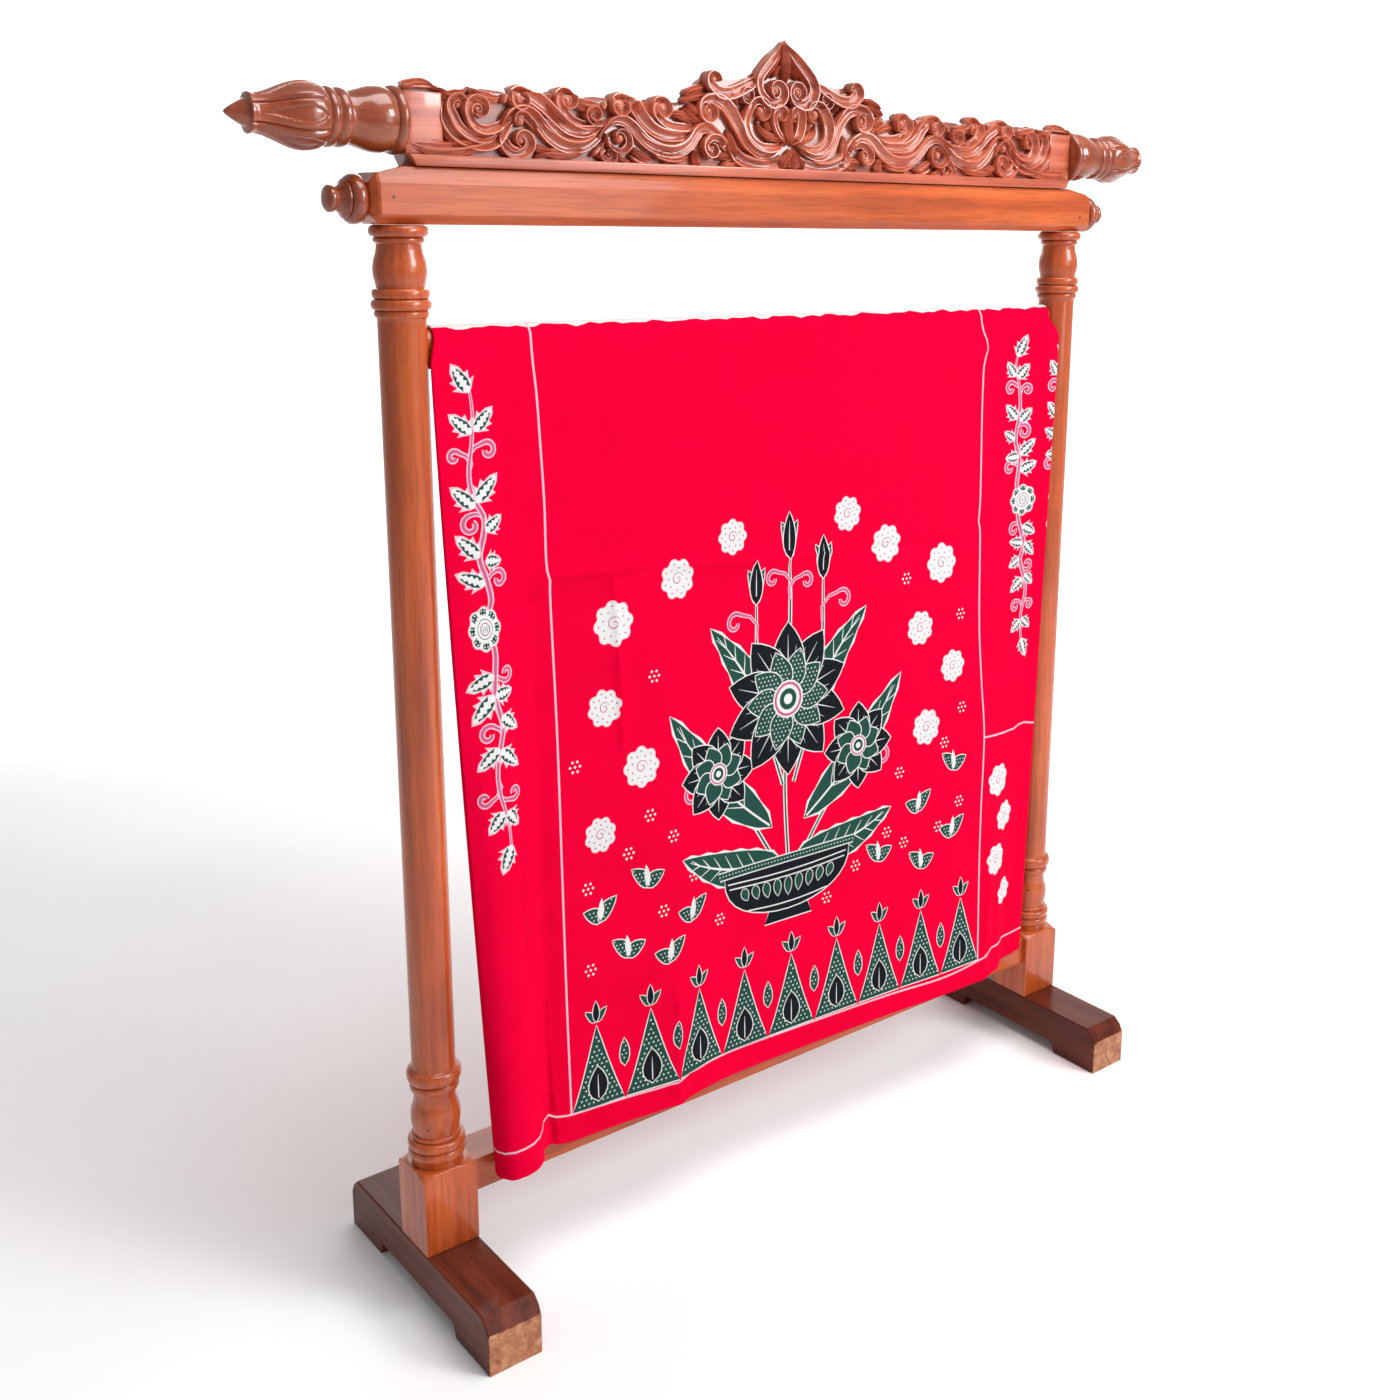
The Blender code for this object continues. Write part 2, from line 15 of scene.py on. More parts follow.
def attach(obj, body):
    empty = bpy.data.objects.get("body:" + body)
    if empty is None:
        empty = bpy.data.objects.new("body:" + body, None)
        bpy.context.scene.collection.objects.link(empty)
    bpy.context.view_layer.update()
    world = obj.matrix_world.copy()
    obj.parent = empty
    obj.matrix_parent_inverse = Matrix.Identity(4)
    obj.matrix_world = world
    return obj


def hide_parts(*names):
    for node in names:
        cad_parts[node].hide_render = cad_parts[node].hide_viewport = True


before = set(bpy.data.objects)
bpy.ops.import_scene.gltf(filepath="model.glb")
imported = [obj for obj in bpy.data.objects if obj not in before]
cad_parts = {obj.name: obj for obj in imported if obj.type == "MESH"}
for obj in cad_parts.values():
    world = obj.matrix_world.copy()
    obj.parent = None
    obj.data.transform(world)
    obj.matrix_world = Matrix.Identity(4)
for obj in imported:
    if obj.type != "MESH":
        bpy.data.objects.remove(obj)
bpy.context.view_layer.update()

MM = 0.001

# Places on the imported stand
POST_X = 0.558
BLOCK_HALF = 0.037
BLOCK_LOW = 0.0743
BLOCK_TOP = 0.187
BEAM_LOW = 1.3586
BEAM_HALF_LENGTH = 0.6015
BEAM_MID_Z = 1.3854
CREST_LOW = 1.4228
CREST_HALF_LENGTH = 0.5535
FINIAL_Z = 1.471
SEAT_GAP = 0.0003
# The cut corners of the posts' blocks, which reach a little higher here than on the solid
BLOCK_CORNER_Z = 0.1795

# The camera, fitted to straight edges in the photograph: its place, its turn, tilt and roll in
# degrees, and its focal length and middle in pixels
CAMERA_AT = (-1.3651, -1.6791, 1.3672)
CAMERA_TURN = (39.8913, 12.7972, 0.784)
FOCAL_PIXELS = 1568.9593
MIDDLE_PIXELS = (800.423, 578.4759)
PHOTO_PIXELS = 1400


# Small helpers


def smooth_step(value):
    value = min(max(value, 0.0), 1.0)
    return value * value * (3 - 2 * value)


def smooth_line(points, samples=None, step=None, fine=12):
    """Points at even steps of arc length on a curve through all the points given."""
    ends = [Vector(p) for p in (points[0], *points, points[-1])]
    line = []
    for a, b, c, d in zip(ends, ends[1:], ends[2:], ends[3:]):
        for k in range(fine):
            t = k / fine
            bent = (2 * a - 5 * b + 4 * c - d) * t**2 + (3 * b - a - 3 * c + d) * t**3
            line.append(0.5 * (2 * b + (c - a) * t + bent))
    line.append(ends[-1])
    lengths = [0.0]
    for p, q in zip(line, line[1:]):
        lengths.append(lengths[-1] + (q - p).length)
    if samples is None:
        samples = max(2, round(lengths[-1] / step))
    made, at = [], 0
    for k in range(samples + 1):
        goal = lengths[-1] * k / samples
        while at < len(line) - 2 and lengths[at + 1] < goal:
            at += 1
        share = (goal - lengths[at]) / max(lengths[at + 1] - lengths[at], 1e-9)
        made.append(line[at].lerp(line[at + 1], share))
    return made


def along(rows, share):
    """The value at a share of the way through rows of (share, value), eased between them."""
    for (a, low), (b, high) in zip(rows, rows[1:]):
        if share <= b:
            return low + (high - low) * smooth_step((share - a) / max(b - a, 1e-9))
    return rows[-1][1]


def join(bm, other):
    """Puts the other bmesh's faces into bm."""
    mesh = bpy.data.meshes.new("joined")
    other.to_mesh(mesh)
    other.free()
    bm.from_mesh(mesh)
    bpy.data.meshes.remove(mesh)


def add_piece(name, mesh, material, smooth_below):
    """One named object, smooth where its faces meet at less than the angle given."""
    mesh.materials.append(material)
    mesh.shade_smooth()
    mesh.set_sharp_from_angle(angle=math.radians(smooth_below))
    piece = bpy.data.objects.new(name, mesh)
    bpy.context.scene.collection.objects.link(piece)
    return piece


def new_piece(name, bm, material, smooth_below=40):
    mesh = bpy.data.meshes.new(name)
    bm.to_mesh(mesh)
    bm.free()
    return add_piece(name, mesh, material, smooth_below)


def stands_for(piece, node):
    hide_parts(node)
    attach(piece, "root")


def ease_edges(bm, edges, offset):
    bmesh.ops.bevel(
        bm, geom=edges, offset=offset, segments=3, profile=0.5, affect="EDGES", material=-1
    )


# Materials


def linear(hex_value):
    """A colour given as an sRGB hex value, as Blender's shaders take it."""
    made = []
    for shift in (16, 8, 0):
        c = ((hex_value >> shift) & 255) / 255
        made.append(c / 12.92 if c <= 0.04045 else ((c + 0.055) / 1.055) ** 2.4)
    return (*made, 1.0)


def feed(tree, inputs, values):
    """Links sockets to a node's inputs and sets the other values there. A tuple holds the first
    inputs in order."""
    pairs = values.items() if isinstance(values, dict) else enumerate(values)
    for key, value in pairs:
        if isinstance(value, bpy.types.NodeSocket):
            tree.links.new(value, inputs[key])
        else:
            inputs[key].default_value = value


def node(tree, kind, values=(), out=0, stops=(), **settings):
    """Adds a shader node and gives one of its outputs. Stops are a ramp's positions and colours."""
    made = tree.nodes.new("ShaderNode" + kind)
    for key, value in settings.items():
        setattr(made, key, value)
    feed(tree, made.inputs, values)
    if stops:
        elements = made.color_ramp.elements
        while len(elements) < len(stops):
            elements.new(0.5)
        for element, (position, tone) in zip(elements, stops):
            element.position = position
            element.color = linear(tone)
    return made.outputs[out]


def new_material(name):
    material = bpy.data.materials.new(name)
    material.use_nodes = True
    tree = material.node_tree
    return material, tree, tree.nodes["Principled BSDF"]


WOOD_TONES = {
    "lit": (0x983F17, 0xB44E1F, 0xC6632F),
    "turned": (0x7A2F12, 0x94401D, 0xAA542D),
    # The carved tones are lighter than the same wood elsewhere: painted light, to make up for the shade that
    # the deep carving casts on itself
    "carved": (0x98402B, 0xBE5D41, 0xCE7855),
    "foot": (0x43190D, 0x5E2615, 0x74351F),
}
WORN_TONES = (0x91593F, 0xA9704F, 0xC08A67)
# Small dark holes where pins were driven in
PIN_HOLES = {
    "Z": ((-0.5800, -0.0222, 0.2430), (0.5354, -0.0197, 0.2620)),
    "X": ((-0.5760, -0.0300, 1.3880), (0.5700, -0.0300, 1.3800)),
    "Y": ((-0.5210, -0.1100, 0.0610),),
}
PIN_HOLE_RADIUS = 0.0016
FOOT_END_Y = 0.193
# The drying crack in the right foot's end: its normal in X and Z, its place and its top
CRACK_NORMAL = (0.891, 0.0, 0.453)
CRACK_PLACE = 0.5038
CRACK_TOP = 0.035


def worn_foot_ends(tree, place, colour):
    """Varnish rubbed off the sawn ends of the feet, down to paler end grain, with a crack in one."""
    parts = node(tree, "SeparateXYZ", (place,)).node.outputs
    patches = node(tree, "TexNoise", {"Vector": place, "Scale": 70.0, "Detail": 4.0, "Roughness": 0.7})
    reach = node(tree, "Math", (parts["Y"],), operation="ABSOLUTE")
    ragged = node(tree, "Math", (patches, 0.004, reach), operation="MULTIPLY_ADD")
    bare = node(tree, "MapRange", (ragged, FOOT_END_Y + 0.0008, FOOT_END_Y + 0.0016, 0.0, 1.0))
    wood = node(tree, "ValToRGB", (patches,), stops=[*zip((0.36, 0.5, 0.64), WORN_TONES)])
    # A colour mix takes its colours at inputs 6 and 7 and gives one at output 2
    mixed = node(tree, "Mix", {0: bare, 6: colour, 7: wood}, 2, data_type="RGBA")
    across = node(tree, "VectorMath", (place, CRACK_NORMAL), "Value", operation="DOT_PRODUCT")
    off = node(tree, "Math", (across, CRACK_PLACE), operation="SUBTRACT")
    away = node(tree, "Math", (off,), operation="ABSOLUTE")
    above = node(tree, "MapRange", (parts["Z"], CRACK_TOP - 0.006, CRACK_TOP, 0.0, 0.0012))
    narrowed = node(tree, "Math", (away, above), operation="ADD")
    crack = node(tree, "MapRange", (narrowed, 0.0004, 0.0011, 0.12, 1.0))
    varnished = node(tree, "Math", (1.0, bare), operation="SUBTRACT")
    return mixed, node(tree, "Math", (crack, varnished), operation="MAXIMUM")


def varnished_mahogany(name, grain, tones="lit", coat=0.6, sheen=0.32):
    """Mahogany-like hardwood, sawn or turned, under glossy varnish. Long fine streaks run with the
    grain. The varnish gives a sharp highlight over a softer one, with slight waves from the brush.
    grain is the axis that the timber runs along, and sheen is how much its own surface reflects
    under the coat."""
    material, tree, shader = new_material(name)
    place = node(tree, "TexCoord", out="Object")
    # Streaks 3 to 8 mm wide and about 20 times as long
    stretch = [1.0, 1.0, 1.0]
    stretch["XYZ".index(grain)] = 0.05
    streaks_at = node(tree, "Mapping", {"Vector": place, "Scale": stretch})
    bands = node(tree, "TexNoise", {"Vector": streaks_at, "Scale": 55.0, "Detail": 4.0, "Roughness": 0.6})
    colour = node(tree, "ValToRGB", (bands,), stops=[*zip((0.28, 0.5, 0.74), WOOD_TONES[tones])])
    pores_at = node(tree, "Mapping", {"Vector": place, "Scale": [s * 0.6 for s in stretch]})
    pores = node(tree, "TexNoise", {"Vector": pores_at, "Scale": 700.0, "Detail": 2.0, "Roughness": 0.5})
    clouds = node(tree, "TexNoise", {"Vector": place, "Scale": 4.0, "Detail": 2.0})
    tint = node(tree, "MapRange", (pores, 0.36, 0.5, 0.8, 1.0))
    shades = [node(tree, "MapRange", (clouds, 0.3, 0.7, 0.84, 1.12))]
    if tones == "carved":
        # Painted shade: the low ground of the carving is made darker the deeper it lies
        depth = node(tree, "Attribute", out="Fac", attribute_name="hollow")
        shades.append(node(tree, "MapRange", (depth, 0.5, 1.0, 1.0, 0.55)))
    else:
        for hole in PIN_HOLES[grain]:
            away = node(tree, "VectorMath", (place, hole), "Value", operation="DISTANCE")
            edge = (away, PIN_HOLE_RADIUS, PIN_HOLE_RADIUS * 1.5, 0.2, 1.0)
            shades.append(node(tree, "MapRange", edge))
    if tones == "foot":
        colour, whole = worn_foot_ends(tree, place, colour)
        shades.append(whole)
    for shade in shades:
        tint = node(tree, "Math", (tint, shade), operation="MULTIPLY")
    waves = node(tree, "TexNoise", {"Vector": streaks_at, "Scale": 30.0, "Detail": 2.0})
    rough = node(tree, "Bump", {"Height": pores, "Strength": 0.12, "Distance": 0.0006})
    brushed = {"Height": waves, "Strength": 0.35, "Distance": 0.0012, "Normal": rough}
    feed(tree, shader.inputs, {
        "Base Color": node(tree, "VectorMath", {0: colour, "Scale": tint}, operation="SCALE"),
        "Roughness": 0.34,
        "IOR": 1.5,
        "Specular IOR Level": sheen,
        "Coat Weight": coat,
        "Coat Roughness": 0.08,
        "Coat IOR": 1.5,
        "Normal": node(tree, "Bump", brushed),
    })
    return material


def wax_dyed_cotton():
    """Plain-woven cotton, waxed by hand and dyed in a bath for each colour. It is matt and drinks the
    light. The dye is a little uneven, the wax leaves crisp edges, and the weave shows close up. Real
    threads are 0.3 mm apart, and they are drawn at 0.9 mm so that they show."""
    material, tree, shader = new_material("wax_dyed_cotton")
    dye = node(tree, "Attribute", out="Fac", attribute_name="dye")
    stops = [(max(k / len(DYES) - 0.05, 0.0), tone) for k, tone in enumerate(DYE_TONES)]
    colour = node(tree, "ValToRGB", (dye,), stops=stops)
    colour.node.color_ramp.interpolation = "CONSTANT"
    # The flat cloth in metres
    spot = node(tree, "UVMap", uv_map="OFBake")
    flat = node(tree, "Mapping", {"Vector": spot, "Scale": [2 * HALF_WIDTH] * 3})
    blotches = node(tree, "TexNoise", {"Vector": flat, "Scale": 9.0, "Detail": 3.0, "Roughness": 0.6})
    specks = node(tree, "TexNoise", {"Vector": flat, "Scale": 420.0, "Detail": 1.0})
    uneven = node(tree, "MapRange", (blotches, 0.3, 0.7, 0.94, 1.04))
    grainy = node(tree, "MapRange", (specks, 0.3, 0.7, 0.96, 1.03))
    tint = node(tree, "Math", (uneven, grainy), operation="MULTIPLY")
    # A wave's bands are 2 pi / 20 apart at scale 1, so that this makes a thread each 0.9 mm
    threads = {"Vector": flat, "Scale": math.tau / 20 / 0.0009, "Distortion": 0.6, "Detail": 1.0}
    warp = node(tree, "TexWave", threads, "Fac", bands_direction="X")
    weft = node(tree, "TexWave", threads, "Fac", bands_direction="Y")
    weave = node(tree, "Math", (warp, weft), operation="MULTIPLY")
    woven = node(tree, "Bump", {"Height": weave, "Strength": 0.25, "Distance": 0.0003})
    rumple = node(tree, "TexNoise", {"Vector": flat, "Scale": 14.0, "Detail": 4.0, "Roughness": 0.55})
    soft = {"Height": rumple, "Strength": 0.3, "Distance": 0.004, "Normal": woven}
    feed(tree, shader.inputs, {
        "Base Color": node(tree, "VectorMath", {0: colour, "Scale": tint}, operation="SCALE"),
        "Roughness": 0.9,
        "Specular IOR Level": 0.02,
        "Normal": node(tree, "Bump", soft),
    })
    return material


def studio_floor():
    """Matt pale studio board, which gives the stand a soft contact shadow."""
    material, tree, shader = new_material("matt_white_board")
    place = node(tree, "TexCoord", out="Object")
    soft = node(tree, "TexNoise", {"Vector": place, "Scale": 1.5, "Detail": 1.0})
    tone = node(tree, "ValToRGB", (soft,), stops=((0.3, 0xF2F2F2), (0.7, 0xF7F7F7)))
    feed(tree, shader.inputs, {"Base Color": tone, "Roughness": 0.9})
    return material


# Stage, light and camera


FLOOR_WIDTH = 40.0
FLOOR_RUN = 20.0
FLOOR_START = -6.0
# Where the floor starts to rise at the back, and the radius of its bend
RISE_START = 5.0
RISE_RADIUS = 2.5
FLOOR_TURN = -0.65


def build_stage():
    """A floor that rises into a wall at the back in one soft curve."""
    bm = bmesh.new()
    bmesh.ops.create_grid(bm, x_segments=2, y_segments=72, size=0.5)
    for vertex in bm.verts:
        x = vertex.co.x * FLOOR_WIDTH
        y = (vertex.co.y + 0.5) * FLOOR_RUN + FLOOR_START
        z = 0.0
        if y > RISE_START:
            run = y - RISE_START
            angle = min(run / RISE_RADIUS, math.pi / 2)
            z = RISE_RADIUS * (1 - math.cos(angle)) + max(run - RISE_RADIUS * math.pi / 2, 0.0)
            y = RISE_START + RISE_RADIUS * math.sin(angle)
        vertex.co = (x, y, z)
    turn = Matrix.Rotation(FLOOR_TURN, 3, "Z")
    bmesh.ops.rotate(bm, verts=bm.verts, cent=(0, 0, 0), matrix=turn)
    new_piece("studio_floor", bm, studio_floor(), 60)


def soft_light(name, place, aim, size, power, colour=(1, 1, 1)):
    data = bpy.data.lights.new(name, "AREA")
    data.shape = "RECTANGLE"
    data.size, data.size_y = size
    data.energy = power
    data.color = colour
    lamp = bpy.data.objects.new(name, data)
    bpy.context.scene.collection.objects.link(lamp)
    lamp.location = place
    lamp.rotation_euler = (Vector(aim) - Vector(place)).to_track_quat("-Z", "Y").to_euler()


def light_studio():
    world = bpy.data.worlds.new("studio")
    bpy.context.scene.world = world
    world.use_nodes = True
    background = world.node_tree.nodes["Background"]
    background.inputs["Color"].default_value = (1, 1, 1, 1)
    background.inputs["Strength"].default_value = 0.40
    soft_light("window", (2.2, -3.4, 3.0), (0, 0, 0.9), (1.6, 1.6), 116, (0.98, 0.98, 1.0))
    soft_light("overhead", (0.4, -1.0, 4.2), (0, 0, 0.8), (2.4, 2.0), 90)
    soft_light("front_card", (1.2, -3.2, 1.8), (-0.1, 0, 1.0), (1.3, 2.0), 26, (1.0, 0.95, 0.99))
    soft_light("back_fill", (1.0, 3.2, 2.6), (0, 0, 0.9), (2.4, 1.6), 16)
    soft_light("wall_wash", (1.6, 2.6, 4.2), (5.0, 6.6, 1.5), (5.0, 1.6), 340)


def place_camera():
    """A camera at the photograph's place, turned, tilted and cropped as it was."""
    yaw, pitch, roll = (math.radians(a) for a in CAMERA_TURN)
    ahead = Vector(
        (math.sin(yaw) * math.cos(pitch), math.cos(yaw) * math.cos(pitch), -math.sin(pitch))
    )
    level = Vector((math.cos(yaw), -math.sin(yaw), 0))
    upright = level.cross(ahead)
    right = level * math.cos(roll) + upright * math.sin(roll)
    up = -level * math.sin(roll) + upright * math.cos(roll)
    data = bpy.data.cameras.new("camera")
    data.sensor_width = 36.0
    data.lens = FOCAL_PIXELS / PHOTO_PIXELS * data.sensor_width
    data.shift_x = (PHOTO_PIXELS / 2 - MIDDLE_PIXELS[0]) / PHOTO_PIXELS
    data.shift_y = (MIDDLE_PIXELS[1] - PHOTO_PIXELS / 2) / PHOTO_PIXELS
    camera = bpy.data.objects.new("camera", data)
    bpy.context.scene.collection.objects.link(camera)
    turn = Matrix((right, up, -ahead)).transposed().to_4x4()
    camera.matrix_world = Matrix.Translation(CAMERA_AT) @ turn
    bpy.context.scene.camera = camera
    # Colours are shown as they are mixed, so that the red cotton keeps its strength
    bpy.context.scene.view_settings.view_transform = "Standard"


# Turned pieces of the stand

BEAD_POINTS = 9


def bead(low, high, root, crown):
    """A half-round bead, as rows of z and radius."""
    rows = []
    for k in range(BEAD_POINTS):
        angle = math.pi * k / (BEAD_POINTS - 1)
        z = (low + high) / 2 - (high - low) / 2 * math.cos(angle)
        rows.append((z, root + (crown - root) * math.sin(angle) ** 0.8))
    return rows


def beads(table):
    return [row for values in table for row in bead(*values)]


def curve_rows(rows, per_gap=4):
    """More rows on a smooth curve through the rows given."""
    return [tuple(p) for p in smooth_line(rows, samples=per_gap * (len(rows) - 1))]


def turned(rows, steps):
    """A bmesh turned about Z from rows of z and radius, closed on the axis."""
    bm = bmesh.new()
    points = [(rows[0][0], 0.0), *rows, (rows[-1][0], 0.0)]
    line = [bm.verts.new((radius, 0, z)) for z, radius in points]
    edges = [bm.edges.new(pair) for pair in zip(line, line[1:])]
    bmesh.ops.spin(
        bm,
        geom=[*line, *edges],
        cent=(0, 0, 0),
        axis=(0, 0, 1),
        angle=math.tau,
        steps=steps,
        use_merge=True,
    )
    bmesh.ops.remove_doubles(bm, verts=bm.verts, dist=1e-6)
    bmesh.ops.recalc_face_normals(bm, faces=bm.faces)
    return bm


POST_LOWER_BEADS = (
    (0.1960, 0.2085, 0.0325, 0.0360),
    (0.2090, 0.2215, 0.0330, 0.0364),
    (0.2220, 0.2280, 0.0298, 0.0312),
)
POST_LOWER_VASE = (
    (0.2285, 0.0286), (0.2340, 0.0296), (0.2420, 0.0309), (0.2510, 0.0315), (0.2610, 0.0302),
    (0.2700, 0.0276), (0.2790, 0.0266), (0.2870, 0.0274),
)
POST_COLLAR_BEADS = (
    (0.2880, 0.2985, 0.0285, 0.0312),
    (0.3000, 0.3170, 0.0300, 0.0345),
)
POST_UPPER_BEADS = (
    (1.2555, 1.2635, 0.0290, 0.0310),
    (1.2640, 1.2760, 0.0305, 0.0342),
    (1.2765, 1.2880, 0.0295, 0.0328),
)
POST_UPPER_VASE = (
    (1.2890, 0.0274), (1.2945, 0.0285), (1.3010, 0.0300), (1.3100, 0.0306), (1.3200, 0.0290),
    (1.3290, 0.0264), (1.3370, 0.0256),
)
POST_TOP_BEADS = (
    (1.3385, 1.3445, 0.0268, 0.0290),
    (1.3450, 1.3575, 0.0288, 0.0336),
)
POST_STEPS = 72


def post_rows():
    rows = [(BLOCK_TOP - 0.0005, 0.0322), (0.1955, 0.0322)]
    rows += beads(POST_LOWER_BEADS) + curve_rows(POST_LOWER_VASE) + beads(POST_COLLAR_BEADS)
    rows += [(0.3185, 0.0278), (0.3200, 0.0274)]
    rows += [(0.32 + 0.93 * k / 12, 0.0274 + 0.0004 * k / 12) for k in range(1, 12)]
    rows += [(1.2500, 0.0278), (1.2540, 0.0281)]
    rows += beads(POST_UPPER_BEADS) + curve_rows(POST_UPPER_VASE) + beads(POST_TOP_BEADS)
    rows.append((BEAM_LOW - SEAT_GAP, POST_TOP_BEADS[-1][2]))
    kept = [rows[0]]
    for row in rows[1:]:
        if row[0] > kept[-1][0] + 2e-5:
            kept.append(row)
    return kept


def squared_block(bm):
    """The square bottom of a post. Its top was turned down, which rounds each face's upper edge."""
    top = bmesh.ops.create_grid(bm, x_segments=24, y_segments=24, size=BLOCK_HALF)["verts"]
    for vertex in top:
        out = math.hypot(vertex.co.x, vertex.co.y)
        over = smooth_step((out - BLOCK_HALF + 0.003) / (BLOCK_HALF * math.sqrt(2) - BLOCK_HALF + 0.003))
        vertex.co.z = BLOCK_TOP - (BLOCK_TOP - BLOCK_CORNER_Z) * over**1.3
    made = bmesh.ops.extrude_edge_only(bm, edges=[e for e in bm.edges if e.is_boundary])["geom"]
    for item in made:
        if isinstance(item, bmesh.types.BMVert):
            item.co.z = BLOCK_LOW
    bottom = [item for item in made if isinstance(item, bmesh.types.BMEdge) and item.is_boundary]
    bmesh.ops.contextual_create(bm, geom=bottom)
    bmesh.ops.recalc_face_normals(bm, faces=bm.faces)
    ease_edges(bm, [e for e in bm.edges if e.calc_face_angle(0.0) > math.radians(50)], 0.0014)


def build_posts(wood):
    for side, name in ((-1, "left"), (1, "right")):
        bm = bmesh.new()
        squared_block(bm)
        join(bm, turned(post_rows(), POST_STEPS))
        bmesh.ops.translate(bm, verts=bm.verts, vec=(side * POST_X, 0, 0))
        stands_for(new_piece("turned_post_" + name, bm, wood), "post_" + name)


KNOB_ROWS = (
    (0.0000, 0.0200), (0.0010, 0.0242), (0.0030, 0.0264), (0.0060, 0.0275), (0.0090, 0.0278),
    (0.0125, 0.0272), (0.0150, 0.0258), (0.0170, 0.0236), (0.0172, 0.0216), (0.0195, 0.0219),
    (0.0212, 0.0208), (0.0224, 0.0180), (0.0250, 0.0150), (0.0290, 0.0126), (0.0305, 0.0130),
    (0.0322, 0.0144), (0.0350, 0.0151), (0.0378, 0.0147), (0.0400, 0.0126), (0.0412, 0.0090),
    (0.0419, 0.0040),
)

FINIAL_ROWS = (
    (0.0000, 0.0340), (0.0012, 0.0360), (0.0035, 0.0374), (0.0065, 0.0378), (0.0095, 0.0372),
    (0.0120, 0.0356), (0.0128, 0.0338), (0.0150, 0.0342), (0.0190, 0.0356), (0.0250, 0.0362),
    (0.0310, 0.0359), (0.0370, 0.0350), (0.0430, 0.0334), (0.0500, 0.0311), (0.0560, 0.0296),
    (0.0605, 0.0288), (0.0630, 0.0290), (0.0640, 0.0304), (0.0665, 0.0316), (0.0700, 0.0319),
    (0.0735, 0.0314), (0.0752, 0.0300), (0.0765, 0.0296), (0.0780, 0.0308), (0.0805, 0.0320),
    (0.0835, 0.0323), (0.0862, 0.0316), (0.0875, 0.0302),
)
# The bud beyond the rings: distance from the crest's end and the radius
BUD_ROWS = (
    (0.0875, 0.0302), (0.0895, 0.0318), (0.0940, 0.0338), (0.1000, 0.0352), (0.1060, 0.0360),
    (0.1120, 0.0359), (0.1180, 0.0350), (0.1240, 0.0334), (0.1300, 0.0312), (0.1360, 0.0288),
    (0.1420, 0.0262), (0.1480, 0.0238), (0.1540, 0.0218), (0.1600, 0.0206), (0.1650, 0.0202),
    (0.1690, 0.0203), (0.1700, 0.0196), (0.1702, 0.0152), (0.1740, 0.0136), (0.1780, 0.0116),
    (0.1820, 0.0092), (0.1860, 0.0068), (0.1895, 0.0044), (0.1920, 0.0024),
)
BUD_PETALS = 6
FINIAL_STEPS = 144


def carve_petals(distance, angle):
    """How far the bud's surface stands in or out: petals with a groove between them, a ridge round
    each and a hollow drop-shaped panel within it."""
    if not 0.0885 < distance < 0.1700:
        return 0.0
    share = (distance - 0.0885) / (0.1700 - 0.0885)
    turn = (angle / math.tau * BUD_PETALS) % 1.0 - 0.5
    off = abs(turn) * 2
    ends = smooth_step(share / 0.10) * smooth_step((1.0 - share) / 0.04)
    groove = -0.0026 * math.exp(-(((1 - off) / 0.085) ** 2)) * ends
    # The panel is widest low on the bud and draws to a point near its neck
    panel_half = 0.60 * math.sin(math.pi * min(max((share - 0.06) / 0.80, 0.0), 1.0) ** 0.62) ** 0.8
    depth = 0.0
    if 0.06 < share < 0.86:
        inside = smooth_step((panel_half - off) / 0.16)
        depth = -0.0021 * inside
    rim = 0.0006 * math.exp(-(((off - 0.74) / 0.12) ** 2)) * ends
    flare = 0.0016 * smooth_step((share - 0.90) / 0.08) * (1 - 0.6 * off * off)
    return groove + depth + rim + flare


def lay_at_end(bm, side, end_x, middle_z):
    """Lays what was turned about Z along X, at one end of its timber."""
    for vertex in bm.verts:
        x, y, z = vertex.co
        vertex.co = (side * (end_x + SEAT_GAP + z), y, middle_z + x)
    bmesh.ops.recalc_face_normals(bm, faces=bm.faces)


def build_finials(wood):
    rows = [*FINIAL_ROWS, *curve_rows(BUD_ROWS[:16], 3)[1:], *BUD_ROWS[16:], (0.1935, 0.0004)]
    for side, name in ((-1, "left"), (1, "right")):
        bm = turned(rows, FINIAL_STEPS)
        for vertex in bm.verts:
            angle = math.atan2(vertex.co.y, vertex.co.x)
            radius = math.hypot(vertex.co.x, vertex.co.y)
            if radius > 0.0185 or 1e-5 < radius and vertex.co.z < 0.165:
                grown_by = (radius + carve_petals(vertex.co.z, angle)) / radius
                vertex.co.x *= grown_by
                vertex.co.y *= grown_by
        lay_at_end(bm, side, CREST_HALF_LENGTH, FINIAL_Z)
        stands_for(new_piece("bud_finial_" + name, bm, wood, 34), "finial_" + name)
        bm = turned(KNOB_ROWS, 64)
        lay_at_end(bm, side, BEAM_HALF_LENGTH, BEAM_MID_Z)
        stands_for(new_piece("turned_knob_" + name, bm, wood, 34), "beam_knob_" + name)


# The carved crest

# Sections across a carved strip: place across it from -1 to 1 and height from 0 to 1
GROOVE_SECTION = (
    (-1.0, -0.3), (-1.0, 0.46), (-0.95, 0.80), (-0.82, 0.99), (-0.64, 0.99), (-0.46, 0.82),
    (-0.26, 0.58), (-0.02, 0.42), (0.24, 0.38), (0.50, 0.46), (0.72, 0.62), (0.88, 0.62),
    (1.0, 0.36), (1.0, -0.3),
)
LEAF_SECTION = (
    (-1.0, -0.3), (-1.0, 0.36), (-0.92, 0.66), (-0.76, 0.76), (-0.55, 0.62), (-0.38, 0.56),
    (-0.2, 0.72), (-0.06, 0.97), (0.0, 1.0), (0.06, 0.97), (0.2, 0.72), (0.38, 0.56),
    (0.55, 0.62), (0.76, 0.76), (0.92, 0.66), (1.0, 0.36), (1.0, -0.3),
)
